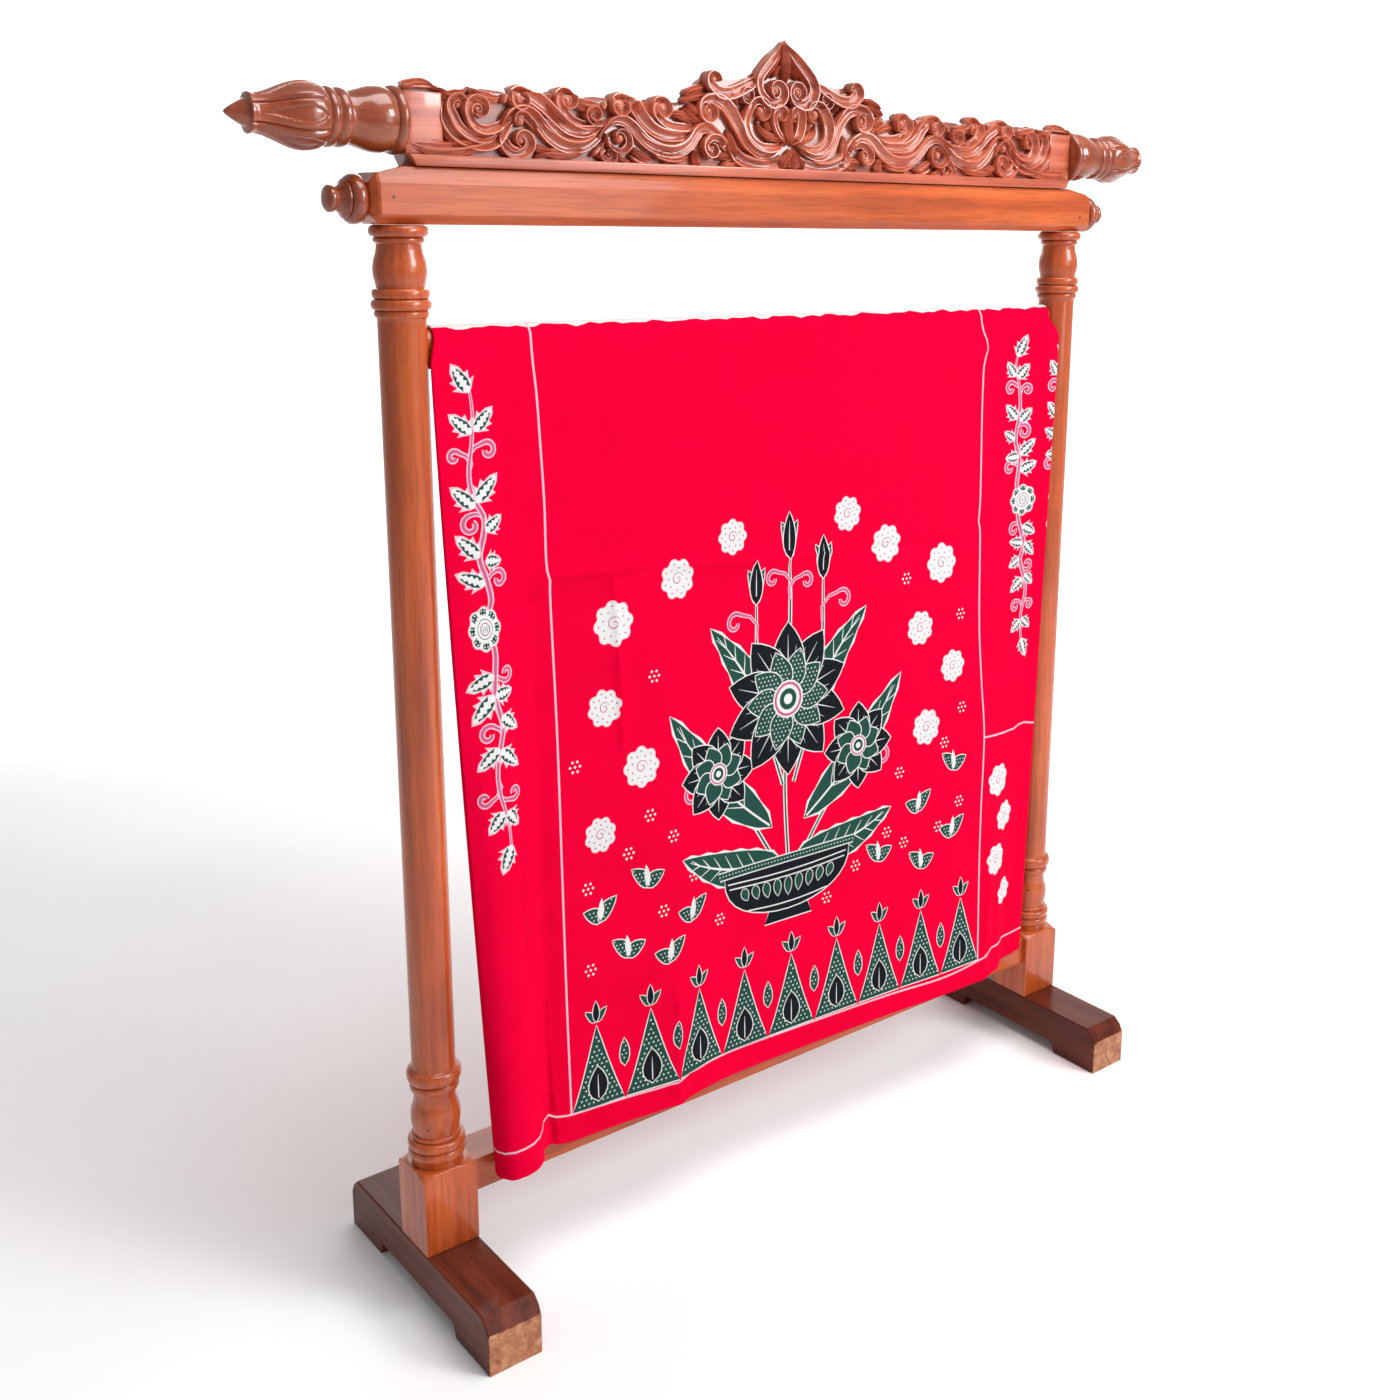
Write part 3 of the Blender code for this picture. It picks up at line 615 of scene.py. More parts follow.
ROUND_SECTION = tuple(
    [(-1.0, -0.3)]
    + [(-math.cos(math.pi * k / 10), 0.35 + 0.65 * math.sin(math.pi * k / 10)) for k in range(11)]
    + [(1.0, -0.3)]
)
SECTIONS = {
    "groove": GROOVE_SECTION,
    "leaf": LEAF_SECTION,
    "ridge": ROUND_SECTION,
    "drop": LEAF_SECTION,
}
# How wide a strip is along its way, as shares of its full width
WIDTHS = {
    "groove": ((0.0, 0.25), (0.22, 0.85), (0.6, 1.0), (1.0, 0.8)),
    "leaf": ((0.0, 0.3), (0.25, 0.85), (0.55, 1.0), (0.82, 0.62), (1.0, 0.05)),
    "ridge": ((0.0, 0.5), (0.3, 1.0), (0.7, 0.9), (1.0, 0.1)),
    "drop": ((0.0, 0.25), (0.35, 0.75), (0.68, 1.0), (0.88, 0.72), (1.0, 0.06)),
}
GROUND_DEPTH = 0.0135
CARVING_STEP = 2.2
VOLUTE_STEPS = 26
STRIP_FULLNESS = {"groove": 1.5, "leaf": 1.28, "ridge": 1.2, "drop": 1.1}
CREST_BASE_Z = 1.400
# The carving on the left half of the crest, in millimetres along x and above z 1.400. Each row holds
# the kind of strip, its width, its height, its way, and the volute at its end: centre, radius of
# the eye and turns, which are positive anticlockwise. The places are those on an upright plane,
# PLANE_Y, as the camera sees them, and set_back moves them onto the carving behind it
PLANE_Y = -0.020
CARVING = (
    ("leaf", 15, 1.05, ((-553, 48), (-536, 43), (-512, 41), (-482, 44), (-454, 51), (-432, 62)), None),
    ("leaf", 9, 1.05, ((-468, 43), (-488, 48), (-502, 57), (-505, 67)), None),
    ("leaf", 7, 0.7, ((-500, 46), (-516, 51), (-528, 51)), None),
    ("groove", 11, 0.85, ((-500, 100), (-506, 88), (-505, 74), (-496, 61), (-480, 52), (-460, 48),
     (-443, 52), (-430, 64), (-421, 78)), None),
    ("groove", 10, 0.95, ((-437, 62), (-455, 55), (-474, 58), (-488, 68), (-495, 80)),
     (-487, 91, 4.5, -0.8)),
    ("groove", 10, 1.0, ((-424, 82), (-438, 70), (-456, 65), (-470, 71), (-476, 84)),
     (-463, 88, 5, -0.95)),
    ("leaf", 10, 0.9, ((-557, 103), (-546, 110), (-530, 112), (-516, 109), (-508, 102)), None),
    ("leaf", 10, 1.0, ((-511, 109), (-503, 101), (-490, 102), (-474, 108)), None),
    ("leaf", 13, 1.0, ((-475, 113), (-467, 104), (-454, 100), (-441, 100), (-433, 104)), None),
    ("ridge", 6, 0.8, ((-431, 95), (-428, 102), (-425, 108)), None),
    ("ridge", 6, 0.85, ((-424, 97), (-421, 104), (-417, 110)), None),
    ("groove", 13, 1.0, ((-289, 84), (-304, 74), (-325, 69), (-345, 73), (-362, 85), (-377, 97),
     (-391, 105), (-401, 109)), (-408, 101, 5, 1.1)),
    ("groove", 10, 1.0, ((-300, 79), (-318, 76), (-336, 80), (-350, 90), (-357, 101)),
     (-345, 104, 6.5, -0.9)),
    ("leaf", 8, 0.9, ((-369, 114), (-371, 103), (-366, 92), (-352, 81), (-334, 75)), None),
    ("groove", 8, 0.95, ((-288, 84), (-300, 80), (-311, 81), (-317, 87)), (-309, 89, 4, -0.9)),
    ("leaf", 13, 1.0, ((-338, 111), (-330, 103), (-318, 99), (-305, 99), (-297, 103)), None),
    ("ridge", 6, 0.8, ((-297, 95), (-293, 101), (-291, 107)), None),
    ("groove", 12, 0.9, ((-436, 58), (-431, 70), (-421, 83), (-407, 89), (-394, 86), (-382, 75),
     (-368, 61), (-350, 52), (-330, 51), (-312, 57), (-298, 68)), None),
    ("groove", 10, 0.8, ((-388, 85), (-378, 79), (-366, 71), (-350, 64), (-330, 62), (-312, 68),
     (-299, 79)), None),
    ("leaf", 11, 0.75, ((-318, 49), (-338, 43), (-358, 42), (-378, 42), (-392, 33)), None),
    ("leaf", 8, 0.7, ((-365, 45), (-382, 47), (-399, 52)), None),
    ("groove", 6, 1.0, ((-388, 64), (-393, 74), (-401, 81)), (-409, 77, 7, 0.5)),
    ("groove", 9, 0.85, ((-431, 68), (-434, 55), (-428, 44), (-415, 38), (-402, 43)),
     (-407, 55, 4.5, 0.9)),
    ("ridge", 5, 0.8, ((-427, 58), (-423, 50), (-414, 46), (-406, 47)), None),
    ("ridge", 6, 0.7, ((-296, 54), (-304, 47), (-313, 40)), None),
    ("ridge", 5, 0.7, ((-292, 50), (-299, 44), (-304, 38)), None),
    ("groove", 6, 0.8, ((-290, 60), (-297, 52), (-298, 43), (-291, 36)), (-287, 44, 4, 0.7)),
    ("groove", 13, 1.0, ((-155, 77), (-180, 71), (-205, 71), (-222, 76), (-236, 86), (-245, 97),
     (-254, 106), (-264, 110)), (-270, 101, 6, 1.0)),
    ("groove", 10, 1.0, ((-155, 85), (-176, 81), (-196, 82), (-210, 87), (-220, 97)),
     (-209, 102, 7, -0.95)),
    ("leaf", 8, 0.9, ((-232, 113), (-232, 102), (-226, 91), (-213, 81), (-197, 77)), None),
    ("leaf", 10, 0.95, ((-158, 89), (-172, 93), (-186, 97), (-195, 95)), None),
    ("leaf", 12, 1.0, ((-252, 107), (-243, 103), (-236, 98), (-230, 90)), None),
    ("groove", 12, 0.9, ((-301, 62), (-292, 74), (-281, 83), (-268, 85), (-256, 80), (-244, 70),
     (-231, 60), (-214, 53), (-195, 51), (-178, 55), (-165, 64), (-157, 75), (-149, 81),
     (-138, 82), (-125, 76), (-112, 65), (-100, 54)), None),
    ("groove", 9, 0.8, ((-250, 81), (-240, 74), (-226, 66), (-210, 62), (-192, 62), (-176, 66),
     (-165, 72)), None),
    ("groove", 6, 1.0, ((-290, 70), (-289, 58), (-280, 50), (-268, 49), (-260, 56)),
     (-272, 63, 7, 0.55)),
    ("leaf", 9, 0.75, ((-276, 48), (-274, 40), (-264, 35), (-253, 38)), None),
    ("leaf", 9, 0.8, ((-258, 55), (-246, 47), (-234, 42), (-221, 42)), None),
    ("ridge", 5, 0.65, ((-258, 45), (-248, 38), (-236, 35), (-222, 35)), None),
    ("leaf", 10, 0.75, ((-168, 46), (-184, 43), (-199, 41), (-208, 31)), None),
    ("leaf", 8, 0.7, ((-188, 46), (-205, 47), (-219, 46)), None),
    ("groove", 9, 0.75, ((-226, 52), (-208, 45), (-188, 44), (-168, 49)), None),
    ("drop", 13, 0.8, ((-160, 55), (-158, 46), (-155, 38), (-153, 32)), None),
    ("groove", 13, 1.0, ((-22, 60), (-38, 53), (-58, 55), (-76, 66), (-88, 82), (-100, 99),
     (-112, 112), (-126, 118), (-140, 117)), (-138, 103, 6, 1.1)),
    ("leaf", 9, 0.9, ((-181, 112), (-170, 117), (-154, 121), (-138, 124)), None),
    ("leaf", 8, 0.9, ((-177, 106), (-170, 98), (-158, 91), (-143, 88)), None),
    ("leaf", 9, 0.95, ((-171, 109), (-162, 103), (-157, 94)), None),
    ("leaf", 8, 0.85, ((-178, 120), (-165, 127), (-150, 131), (-140, 131)), None),
    ("groove", 8, 0.95, ((-110, 61), (-121, 69), (-133, 71), (-142, 64)), (-134, 57, 4.5, 0.9)),
    ("leaf", 9, 0.8, ((-93, 47), (-97, 60), (-103, 72), (-107, 83)), None),
    ("leaf", 10, 0.75, ((-84, 43), (-98, 40), (-111, 38), (-118, 32)), None),
    ("leaf", 8, 0.75, ((-98, 46), (-113, 48), (-127, 46)), None),
    ("groove", 13, 0.8, ((-103, 66), (-101, 54), (-88, 44), (-66, 38), (-44, 37), (-24, 42),
     (-12, 48)), None),
    ("ridge", 6, 0.9, ((-96, 62), (-86, 52), (-66, 46), (-46, 45), (-30, 49)), None),
    ("groove", 11, 1.0, ((-14, 72), (-28, 63), (-48, 61), (-66, 68), (-77, 82), (-78, 98),
     (-71, 112)), (-55, 107, 7.5, -0.75)),
    ("leaf", 9, 0.8, ((-8, 76), (-22, 74), (-38, 76), (-52, 84), (-60, 96)), None),
    ("groove", 9, 0.95, ((-8, 66), (-20, 76), (-29, 88), (-32, 101)), (-22, 104, 5, -0.8)),
    ("leaf", 7, 0.8, ((-38, 82), (-43, 90), (-46, 99)), None),
    ("drop", 11, 1.12, ((-4, 56), (-11, 48), (-17, 40), (-21, 33)), None),
    ("groove", 11, 1.0, ((-16, 198), (-27, 184), (-44, 166), (-56, 151), (-58, 138), (-50, 125),
     (-37, 118), (-24, 121)), (-29, 134, 6.5, 0.95)),
    ("leaf", 6, 0.8, ((-21, 182), (-31, 168), (-40, 157), (-44, 146)), None),
    ("leaf", 5, 0.8, ((-22, 168), (-29, 159), (-33, 150)), None),
    ("groove", 13, 1.0, ((-54, 152), (-70, 142), (-88, 133), (-105, 127), (-121, 127),
     (-132, 134)), (-130, 142, 6, -0.75)),
    ("groove", 6, 0.9, ((-62, 118), (-72, 117), (-82, 120)), (-76, 126, 5, -0.8)),
    ("leaf", 8, 0.8, ((-92, 112), (-97, 121), (-104, 129)), None),
    ("leaf", 7, 0.8, ((-104, 110), (-112, 119), (-121, 125)), None),
    ("leaf", 7, 0.8, ((-58, 128), (-64, 137), (-70, 140)), None),
)
# Pieces on the middle line
MIDDLE_CARVING = (
    ("drop", 21, 1.3, ((0, 62), (0, 52), (0, 41), (0, 31)), None),
    ("leaf", 12, 1.1, ((0, 66), (0, 84), (0, 102), (0, 120)), None),
    ("leaf", 11, 1.15, ((0, 197), (0, 178), (0, 160), (0, 142)), None),
)
# Half of the crest's outline, from its point outwards. Each row holds x and z
CREST_MIDDLE = (
    (0.000, 1.6000), (0.008, 1.5930), (0.020, 1.5830), (0.034, 1.5680), (0.052, 1.5550),
    (0.070, 1.5480), (0.090, 1.5445), (0.106, 1.5460), (0.120, 1.5475), (0.132, 1.5440),
    (0.144, 1.5340), (0.158, 1.5200), (0.174, 1.5120),
)
CREST_BACK_Y = 0.023
# The face of the carving: how far it stands out, and how far, from where and how high it leans back
FACE_OUT = 0.023
LEAN_BACK = 0.010
LEAN_FROM_Z = 1.437
LEAN_RISE = 0.063
# It leans most within this distance of the middle, and less over the next stretch
LEAN_HALF_WIDTH = 0.120
LEAN_FADE = 0.200
PEAK_FROM_Z = 1.510


def crest_face_y(x, z):
    """The front of the crest's carving, which leans back with height, most of all in its middle."""
    up = smooth_step((z - LEAN_FROM_Z) / LEAN_RISE)
    middle = 1 - min(max((abs(x) - LEAN_HALF_WIDTH) / LEAN_FADE, 0.0), 1.0)
    out = FACE_OUT - LEAN_BACK * up * (0.25 + 0.75 * middle)
    if z > PEAK_FROM_Z:
        out = min(out, FACE_OUT - LEAN_BACK - (z - PEAK_FROM_Z) * 0.1)
    return -out


def set_back(place):
    """A place on the upright plane, moved along the camera's line of sight onto the carving."""
    x, z = place
    back = crest_face_y(x * MM, CREST_BASE_Z + z * MM) + 0.004 - PLANE_Y
    across = (x * MM - CAMERA_AT[0]) / (PLANE_Y - CAMERA_AT[1])
    return (x + back * across / MM, z)


def swept(bm, rings):
    """A closed strip through rings of points. Its ends close where their rings shrink to a point."""
    count = len(rings[0])
    made = bmesh.ops.create_grid(bm, x_segments=len(rings) - 1, y_segments=count, size=0.5)
    verts = made["verts"]
    for vertex in verts:
        i = round((vertex.co.x + 0.5) * (len(rings) - 1))
        j = round((vertex.co.y + 0.5) * count) % count
        vertex.co = rings[i][j]
    bmesh.ops.remove_doubles(bm, verts=verts, dist=2e-6)
    return [v for v in verts if v.is_valid]


def volute(start, centre, eye, turns):
    """Points that wind from start in to an eye, closer at each turn."""
    first = Vector((start[0] - centre[0], start[1] - centre[1]))
    angle = math.atan2(first.y, first.x)
    radius = first.length
    steps = max(6, round(abs(turns) * VOLUTE_STEPS))
    points = []
    for k in range(1, steps + 1):
        share = k / steps
        r = radius + (eye * 1.05 - radius) * share**0.8
        a = angle + math.tau * turns * share
        points.append((centre[0] + r * math.cos(a), centre[1] + r * math.sin(a)))
    return points


def carved_strip(bm, kind, width, height, way, end):
    line = [tuple(p) for p in smooth_line(way, step=CARVING_STEP)]
    if end:
        line += volute(line[-1], end[:2], end[2], end[3])
    # The high rim of a scroll is on the outside of its bend
    bends = 0.0
    for p, q, r in zip(line, line[1:], line[2:]):
        bends += (q[0] - p[0]) * (r[1] - q[1]) - (q[1] - p[1]) * (r[0] - q[0])
    outside = 1 if bends > 0 else -1
    section = [(across * outside, up) for across, up in SECTIONS[kind]]
    count = len(line) - 1
    rings = []
    for k, (x, z) in enumerate(line):
        before = line[max(k - 1, 0)]
        after = line[min(k + 1, count)]
        run = Vector((after[0] - before[0], after[1] - before[1])).normalized()
        side = Vector((-run.y, run.x))
        share = k / count
        half = along(WIDTHS[kind], share) * width * STRIP_FULLNESS[kind] / 2
        rise = height * GROUND_DEPTH
        if end:
            half *= 1 - 0.45 * smooth_step((share - 0.55) / 0.45)
        else:
            rise *= 0.45 + 0.55 * smooth_step((1 - share) / 0.3)
        rise *= 0.55 + 0.45 * smooth_step(share / 0.15)
        if k in (0, count):
            half = 0.0
            rise *= 0.3
        ring = []
        for across, up in section:
            px = (x + side.x * half * across) * MM
            pz = CREST_BASE_Z + (z + side.y * half * across) * MM
            y = crest_face_y(px, pz) + GROUND_DEPTH - up * rise
            ring.append(Vector((px, y, pz)))
        if half == 0.0:
            middle = sum(ring, Vector()) / len(ring)
            ring = [middle] * len(ring)
        rings.append(ring)
    swept(bm, rings)
    if end:
        made = bmesh.ops.create_uvsphere(bm, u_segments=18, v_segments=10, radius=1.0)
        x = end[0] * MM
        z = CREST_BASE_Z + end[1] * MM
        eye = end[2] * MM
        bmesh.ops.scale(bm, verts=made["verts"], vec=(eye, min(GROUND_DEPTH * 0.95, eye * 1.4), eye))
        sunk = crest_face_y(x, z) + GROUND_DEPTH - 0.001
        bmesh.ops.translate(bm, verts=made["verts"], vec=(x, sunk, z))


def crest_outline():
    """The board's outline: low waves and a raised, pointed middle."""
    half = [tuple(p) for p in smooth_line(CREST_MIDDLE, samples=48)]
    run_end = CREST_HALF_LENGTH - 0.012
    for k in range(1, 97):
        x = 0.174 + (run_end - 0.174) * k / 96
        wave = abs(math.sin(math.pi * (x - 0.174) / 0.079))
        half.append((x, 1.5085 + 0.0028 * (2 * wave - 1)))
    half += [(CREST_HALF_LENGTH - 0.003, 1.5045), (CREST_HALF_LENGTH, 1.5000)]
    half += [(CREST_HALF_LENGTH, 1.4428), (CREST_HALF_LENGTH - 0.010, CREST_LOW)]
    return half + [(-x, z) for x, z in reversed(half[1:])]


def eased_box(bm, size, middle, eased_from, spread=1.0):
    """A box with its edges eased in front of a place in Y. Its top is as much wider as spread says."""
    corners = bmesh.ops.create_cube(bm, size=1.0)["verts"]
    bmesh.ops.scale(bm, verts=corners, vec=size)
    bmesh.ops.translate(bm, verts=corners, vec=middle)
    for corner in corners:
        if corner.co.z > middle[2]:
            corner.co.x *= spread
    front = {v for v in corners if v.co.y < eased_from}
    ease_edges(bm, [e for e in bm.edges if front.issuperset(e.verts)], 0.0022)


def crest_board():
    """The board behind the carving: sawn to its outline, its front cut back to the ground."""
    bm = bmesh.new()
    face = bm.faces.new([bm.verts.new((x, CREST_BACK_Y, z)) for x, z in crest_outline()])
    made = bmesh.ops.extrude_face_region(bm, geom=[face])
    front = [item for item in made["geom"] if isinstance(item, bmesh.types.BMVert)]
    bmesh.ops.translate(bm, verts=front, vec=(0, -2 * CREST_BACK_Y, 0))
    cuts = [((0, 0, 1.434 + 0.006 * k), (0, 0, 1)) for k in range(27)]
    cuts += [((-0.54 + 0.03 * k, 0, 0), (1, 0, 0)) for k in range(37)]
    for place, normal in cuts:
        everything = [*bm.verts, *bm.edges, *bm.faces]
        bmesh.ops.bisect_plane(bm, geom=everything, plane_co=place, plane_no=normal)
    for vertex in bm.verts:
        x, y, z = vertex.co
        thinned = max(z - 1.480, 0.0) / 0.120 * (CREST_BACK_Y - 0.005)
        if y > 0:
            vertex.co.y = CREST_BACK_Y - thinned
        elif z > 1.4335:
            vertex.co.y = min(crest_face_y(x, z) + GROUND_DEPTH, CREST_BACK_Y - thinned - 0.004)
    # The plain strip under the carving and the flat panels at the ends keep the board's full front
    size = (2 * CREST_HALF_LENGTH - 0.020, 0.020, 0.0125)
    spread = CREST_HALF_LENGTH / (CREST_HALF_LENGTH - 0.010) * 0.996
    eased_box(bm, size, (0, -0.013, CREST_LOW + 0.00625), -0.02, spread)
    for side in (-1, 1):
        middle = side * (CREST_HALF_LENGTH - 0.02325)
        eased_box(bm, (0.0465, 0.0165, 0.068), (middle, -0.00925, 1.469), -0.015)
    return bm


def build_crest(wood):
    bm = bmesh.new()
    for kind, width, height, way, end in CARVING:
        if end:
            end = (*set_back(end[:2]), *end[2:])
        carved_strip(bm, kind, width, height, [set_back(place) for place in way], end)
    half = [*bm.verts, *bm.edges, *bm.faces]
    made = bmesh.ops.duplicate(bm, geom=half)
    turned_over = [item for item in made["geom"] if isinstance(item, bmesh.types.BMVert)]
    bmesh.ops.scale(bm, verts=turned_over, vec=(-1, 1, 1))
    for kind, width, height, way, end in MIDDLE_CARVING:
        carved_strip(bm, kind, width, height, way, end)
    join(bm, crest_board())
    bmesh.ops.recalc_face_normals(bm, faces=bm.faces)
    # How deep each point lies in the carving, which the carved material reads to paint shade on its low
    # ground
    hollows = []
    for vertex in bm.verts:
        x, y, z = vertex.co
        hollows.append((y - crest_face_y(x, z)) / GROUND_DEPTH if z > CREST_LOW + 0.013 else 0.0)
    crest = new_piece("carved_crest", bm, wood, 48)
    sunk = crest.data.attributes.new("hollow", "FLOAT", "POINT")
    sunk.data.foreach_set("value", hollows)
    stands_for(crest, "crest_board")


# The cloth's shape: the same folds as its solid has, in finer steps

HEM_Z = 0.160
RAIL_RADIUS = 0.011
RAIL_TOP = 1.2419
RAIL_MID_Z = RAIL_TOP - RAIL_RADIUS
LAYER_OUT = 0.0012
LAYER_STEP = 0.0026
CLOTH_HALF_TOP = 0.5265
BACK_DROP = 0.035
FLAP_HEM_Y = -0.0322
FLAP_END_X = 0.005
FLAP_LIFT = 0.004
RIGHT_FLAP_HEM_X = 0.490
FOLD_FADE = 1.25
FLARE_FROM_X = 0.43
FLARE_TOP_Z = 1.2305
FLARE_FULL_Z = 1.198
FLARE_OUT = 0.012
FLARE_FORWARD = 0.013
# The hem's x, y and height above the lowest hem
FRONT_HEM = (
    (-0.4990, -0.0540, 0.000), (-0.4960, -0.0640, 0.000), (-0.4870, -0.0720, 0.000),
    (-0.4680, -0.0750, 0.001), (-0.4500, -0.0710, 0.002), (-0.4330, -0.0570, 0.003),
    (-0.4200, -0.0420, 0.005), (-0.4110, -0.0380, 0.006), (-0.4020, -0.0440, 0.005),
    (-0.3850, -0.0470, 0.003), (-0.3000, -0.0500, 0.001), (-0.2210, -0.0560, 0.000),
    (-0.1500, -0.0470, 0.002), (-0.0780, -0.0430, 0.001), (0.0510, -0.0500, 0.003),
    (0.1800, -0.0560, 0.003), (0.2950, -0.0620, 0.001), (0.3850, -0.0640, 0.002),
    (0.4250, -0.0580, 0.006), (0.4450, -0.0450, 0.010), (0.4620, -0.0400, 0.009),
    (0.4850, -0.0400, 0.012), (0.4980, -0.0395, 0.013),
)
LEFT_FOLD_HEM = (
    (-0.4850, FLAP_HEM_Y, 0.003),
    (-0.4945, -0.0365, 0.001),
    (-0.4985, -0.0450, 0.000),
)
RIGHT_FOLD_HEM = (
    (0.5005, -0.0382, 0.013),
    (0.5010, -0.0360, 0.012),
    (0.4995, -0.0335, 0.011),
)
# The flat cloth: how wide its front, each fold and each end behind are, and how far it runs up
FRONT_WIDTH = 1.075
TURN_WIDTH = 0.008
FLAP_WIDTH = 0.5195
HALF_WIDTH = FRONT_WIDTH / 2 + TURN_WIDTH + FLAP_WIDTH
DROP = RAIL_MID_Z - HEM_Z
WRAP = math.pi * (RAIL_RADIUS + LAYER_OUT + LAYER_STEP)
CLOTH_LENGTH = DROP + WRAP + BACK_DROP
SEEN_THICKNESS = 0.0006
PROBE = 0.3
# Creases lie within this distance of the front's middle and of the hem, in millimetres
CREASED_TO = (536, 1064)

# How much higher the creases are made than their heights say, so that they show in soft light
CREASE_RISE = 1.7
# Creases left from storage and handling, in millimetres on the flat cloth: the way, how far it
# stands out and how wide it is
CREASES = (
    (((-402, 773), (-340, 771), (-280, 770), (-224, 776)), 2.5, 6),
    (((-222, 766), (-120, 757), (0, 750), (112, 747)), 1.9, 5),
    (((120, 744), (240, 741), (366, 738)), -1.4, 6),
    (((-310, 772), (-299, 757), (-296, 700), (-293, 620), (-292, 520)), 2.5, 5),
    (((-530, 741), (-470, 744), (-405, 744)), -2.0, 8),
    (((-438, 0), (-446, 60), (-453, 132), (-455, 210), (-465, 280), (-466, 360), (-461, 520)), -2.7, 9),
    (((-460, 520), (-458, 640), (-462, 760), (-458, 900), (-452, 1010)), -1.5, 8),
    (((-412, 0), (-414, 60), (-418, 130), (-419, 235)), 2.0, 4),
    (((-214, 0), (-215, 50), (-214, 110), (-210, 170)), 2.7, 6),
    (((-186, 0), (-188, 40), (-192, 90)), -2.0, 7),
    (((412, 0), (417, 40), (421, 110), (428, 220)), 2.7, 6),
    (((440, 0), (441, 60), (446, 150)), -2.0, 7),
    (((384, 1046), (396, 1022), (404, 1000), (398, 960)), 1.5, 6),
    (((300, 1045), (350, 1024), (400, 1012)), 0.8, 9),
    (((-70, 1000), (-66, 900), (-64, 780)), 0.6, 8),
    (((498, 1060), (512, 900), (516, 700), (517, 420), (512, 60)), -1.7, 6),
)


def cloth_columns():
    """The cloth's section from one free end to the other. Each row holds the place across the flat
    cloth, the top's x and distance from the cloth rail, and the hem's x, y and lift."""
    inner = LAYER_OUT
    outer = inner + LAYER_STEP
    turn = LAYER_STEP / 2
    straight = CLOTH_HALF_TOP - turn
    half = FRONT_WIDTH / 2
    edge = half + TURN_WIDTH
    columns = [(-HALF_WIDTH, -FLAP_END_X, inner, -FLAP_END_X, FLAP_HEM_Y, FLAP_LIFT)]
    steps = 14
    for k, hem in enumerate(smooth_line([*LEFT_FOLD_HEM, FRONT_HEM[0]], samples=steps)):
        angle = math.pi * k / steps
        out = inner + turn * (1 - math.cos(angle))
        columns.append((-edge + TURN_WIDTH * k / steps, -straight - turn * math.sin(angle), out, *hem))
    columns.pop()
    front = 260
    for k, hem in enumerate(smooth_line(FRONT_HEM, samples=front)):
        share = k / front
        columns.append((-half + FRONT_WIDTH * share, straight * (2 * share - 1), outer, *hem))
    columns.pop()
    way = [FRONT_HEM[-1], *RIGHT_FOLD_HEM, (RIGHT_FLAP_HEM_X, FLAP_HEM_Y, FLAP_LIFT)]
    for k, hem in enumerate(smooth_line(way, samples=steps)):
        angle = math.pi * k / steps
        out = outer - turn * (1 - math.cos(angle))
        columns.append((half + TURN_WIDTH * k / steps, straight + turn * math.sin(angle), out, *hem))
    columns.append((HALF_WIDTH, FLAP_END_X, inner, FLAP_END_X, FLAP_HEM_Y, FLAP_LIFT))
    return columns


def hung(columns, starts, across, up):
    """Where a place on the flat cloth hangs."""
    k = min(max(bisect(starts, across) - 1, 0), len(columns) - 2)
    low, high = columns[k], columns[k + 1]
    share = (across - low[0]) / (high[0] - low[0])
    top_x, top_out, hem_x, hem_y, lift = (a + (b - a) * share for a, b in zip(low[1:], high[1:]))
    reach = RAIL_RADIUS + top_out
    if up > DROP + WRAP:
        return Vector((top_x, reach, RAIL_MID_Z - (up - DROP - WRAP)))
    if up > DROP:
        angle = math.pi * (up - DROP) / WRAP
        return Vector((top_x, -reach * math.cos(angle), RAIL_MID_Z + reach * math.sin(angle)))
    row = up / DROP
    fall = max(1 - row, 0.0) ** FOLD_FADE
    x = top_x + (hem_x - top_x) * fall
    y = -reach + (hem_y + reach) * fall
    z = HEM_Z + lift * fall + (RAIL_MID_Z - HEM_Z - lift * fall) * row
    side = smooth_step((abs(top_x) - FLARE_FROM_X) / (CLOTH_HALF_TOP - FLARE_FROM_X))
    flare = smooth_step((FLARE_TOP_Z - z) / (FLARE_TOP_Z - FLARE_FULL_Z))
    fade = min((z - HEM_Z) / (FLARE_FULL_Z - HEM_Z), 1.0)
    x += math.copysign(FLARE_OUT, top_x) * side * flare * fade
    y -= FLARE_FORWARD * side * flare * fade
    return Vector((x, y, z))


def crease_height(ways, x, y):
    """How far the creases lift a place on the flat cloth, in millimetres."""
    lift = 0.0
    for (x0, y0, x1, y1), line, height, width in ways:
        if not (x0 < x < x1 and y0 < y < y1):
            continue
        best, share = 1e9, 0.0
        for k, (p, q) in enumerate(zip(line, line[1:])):
            run = q - p
            t = min(max(((x - p.x) * run.x + (y - p.y) * run.y) / max(run.length_squared, 1e-9), 0.0), 1.0)
            away = math.hypot(x - p.x - run.x * t, y - p.y - run.y * t)
            if away < best:
                best, share = away, (k + t) / (len(line) - 1)
        ends = smooth_step(share / 0.12) * smooth_step((1 - share) / 0.12)
        if y < 2 * width:
            ends = smooth_step((1 - share) / 0.12)
        lift += CREASE_RISE * height * ends * math.exp(-((best / width) ** 1.4))
    # Long shallow swells, which a hanging cotton cloth always has
    swell = math.sin(x / 61 + 1.3 * math.sin(y / 230)) * math.sin(y / 173 + x / 340)
    return lift + 0.45 * swell * smooth_step((1000 - y) / 300)


# The cloth's pattern, drawn on the flat cloth in millimetres from the front's middle and the hem.
# A shape is a dye and an outline, and later shapes lie on earlier ones

DYES = ("red", "white", "pale", "rose", "green", "black")
DYE_TONES = (0xDA0032, 0xD2D3D1, 0xD6AFBD, 0xB9577C, 0x24483F, 0x191D21)


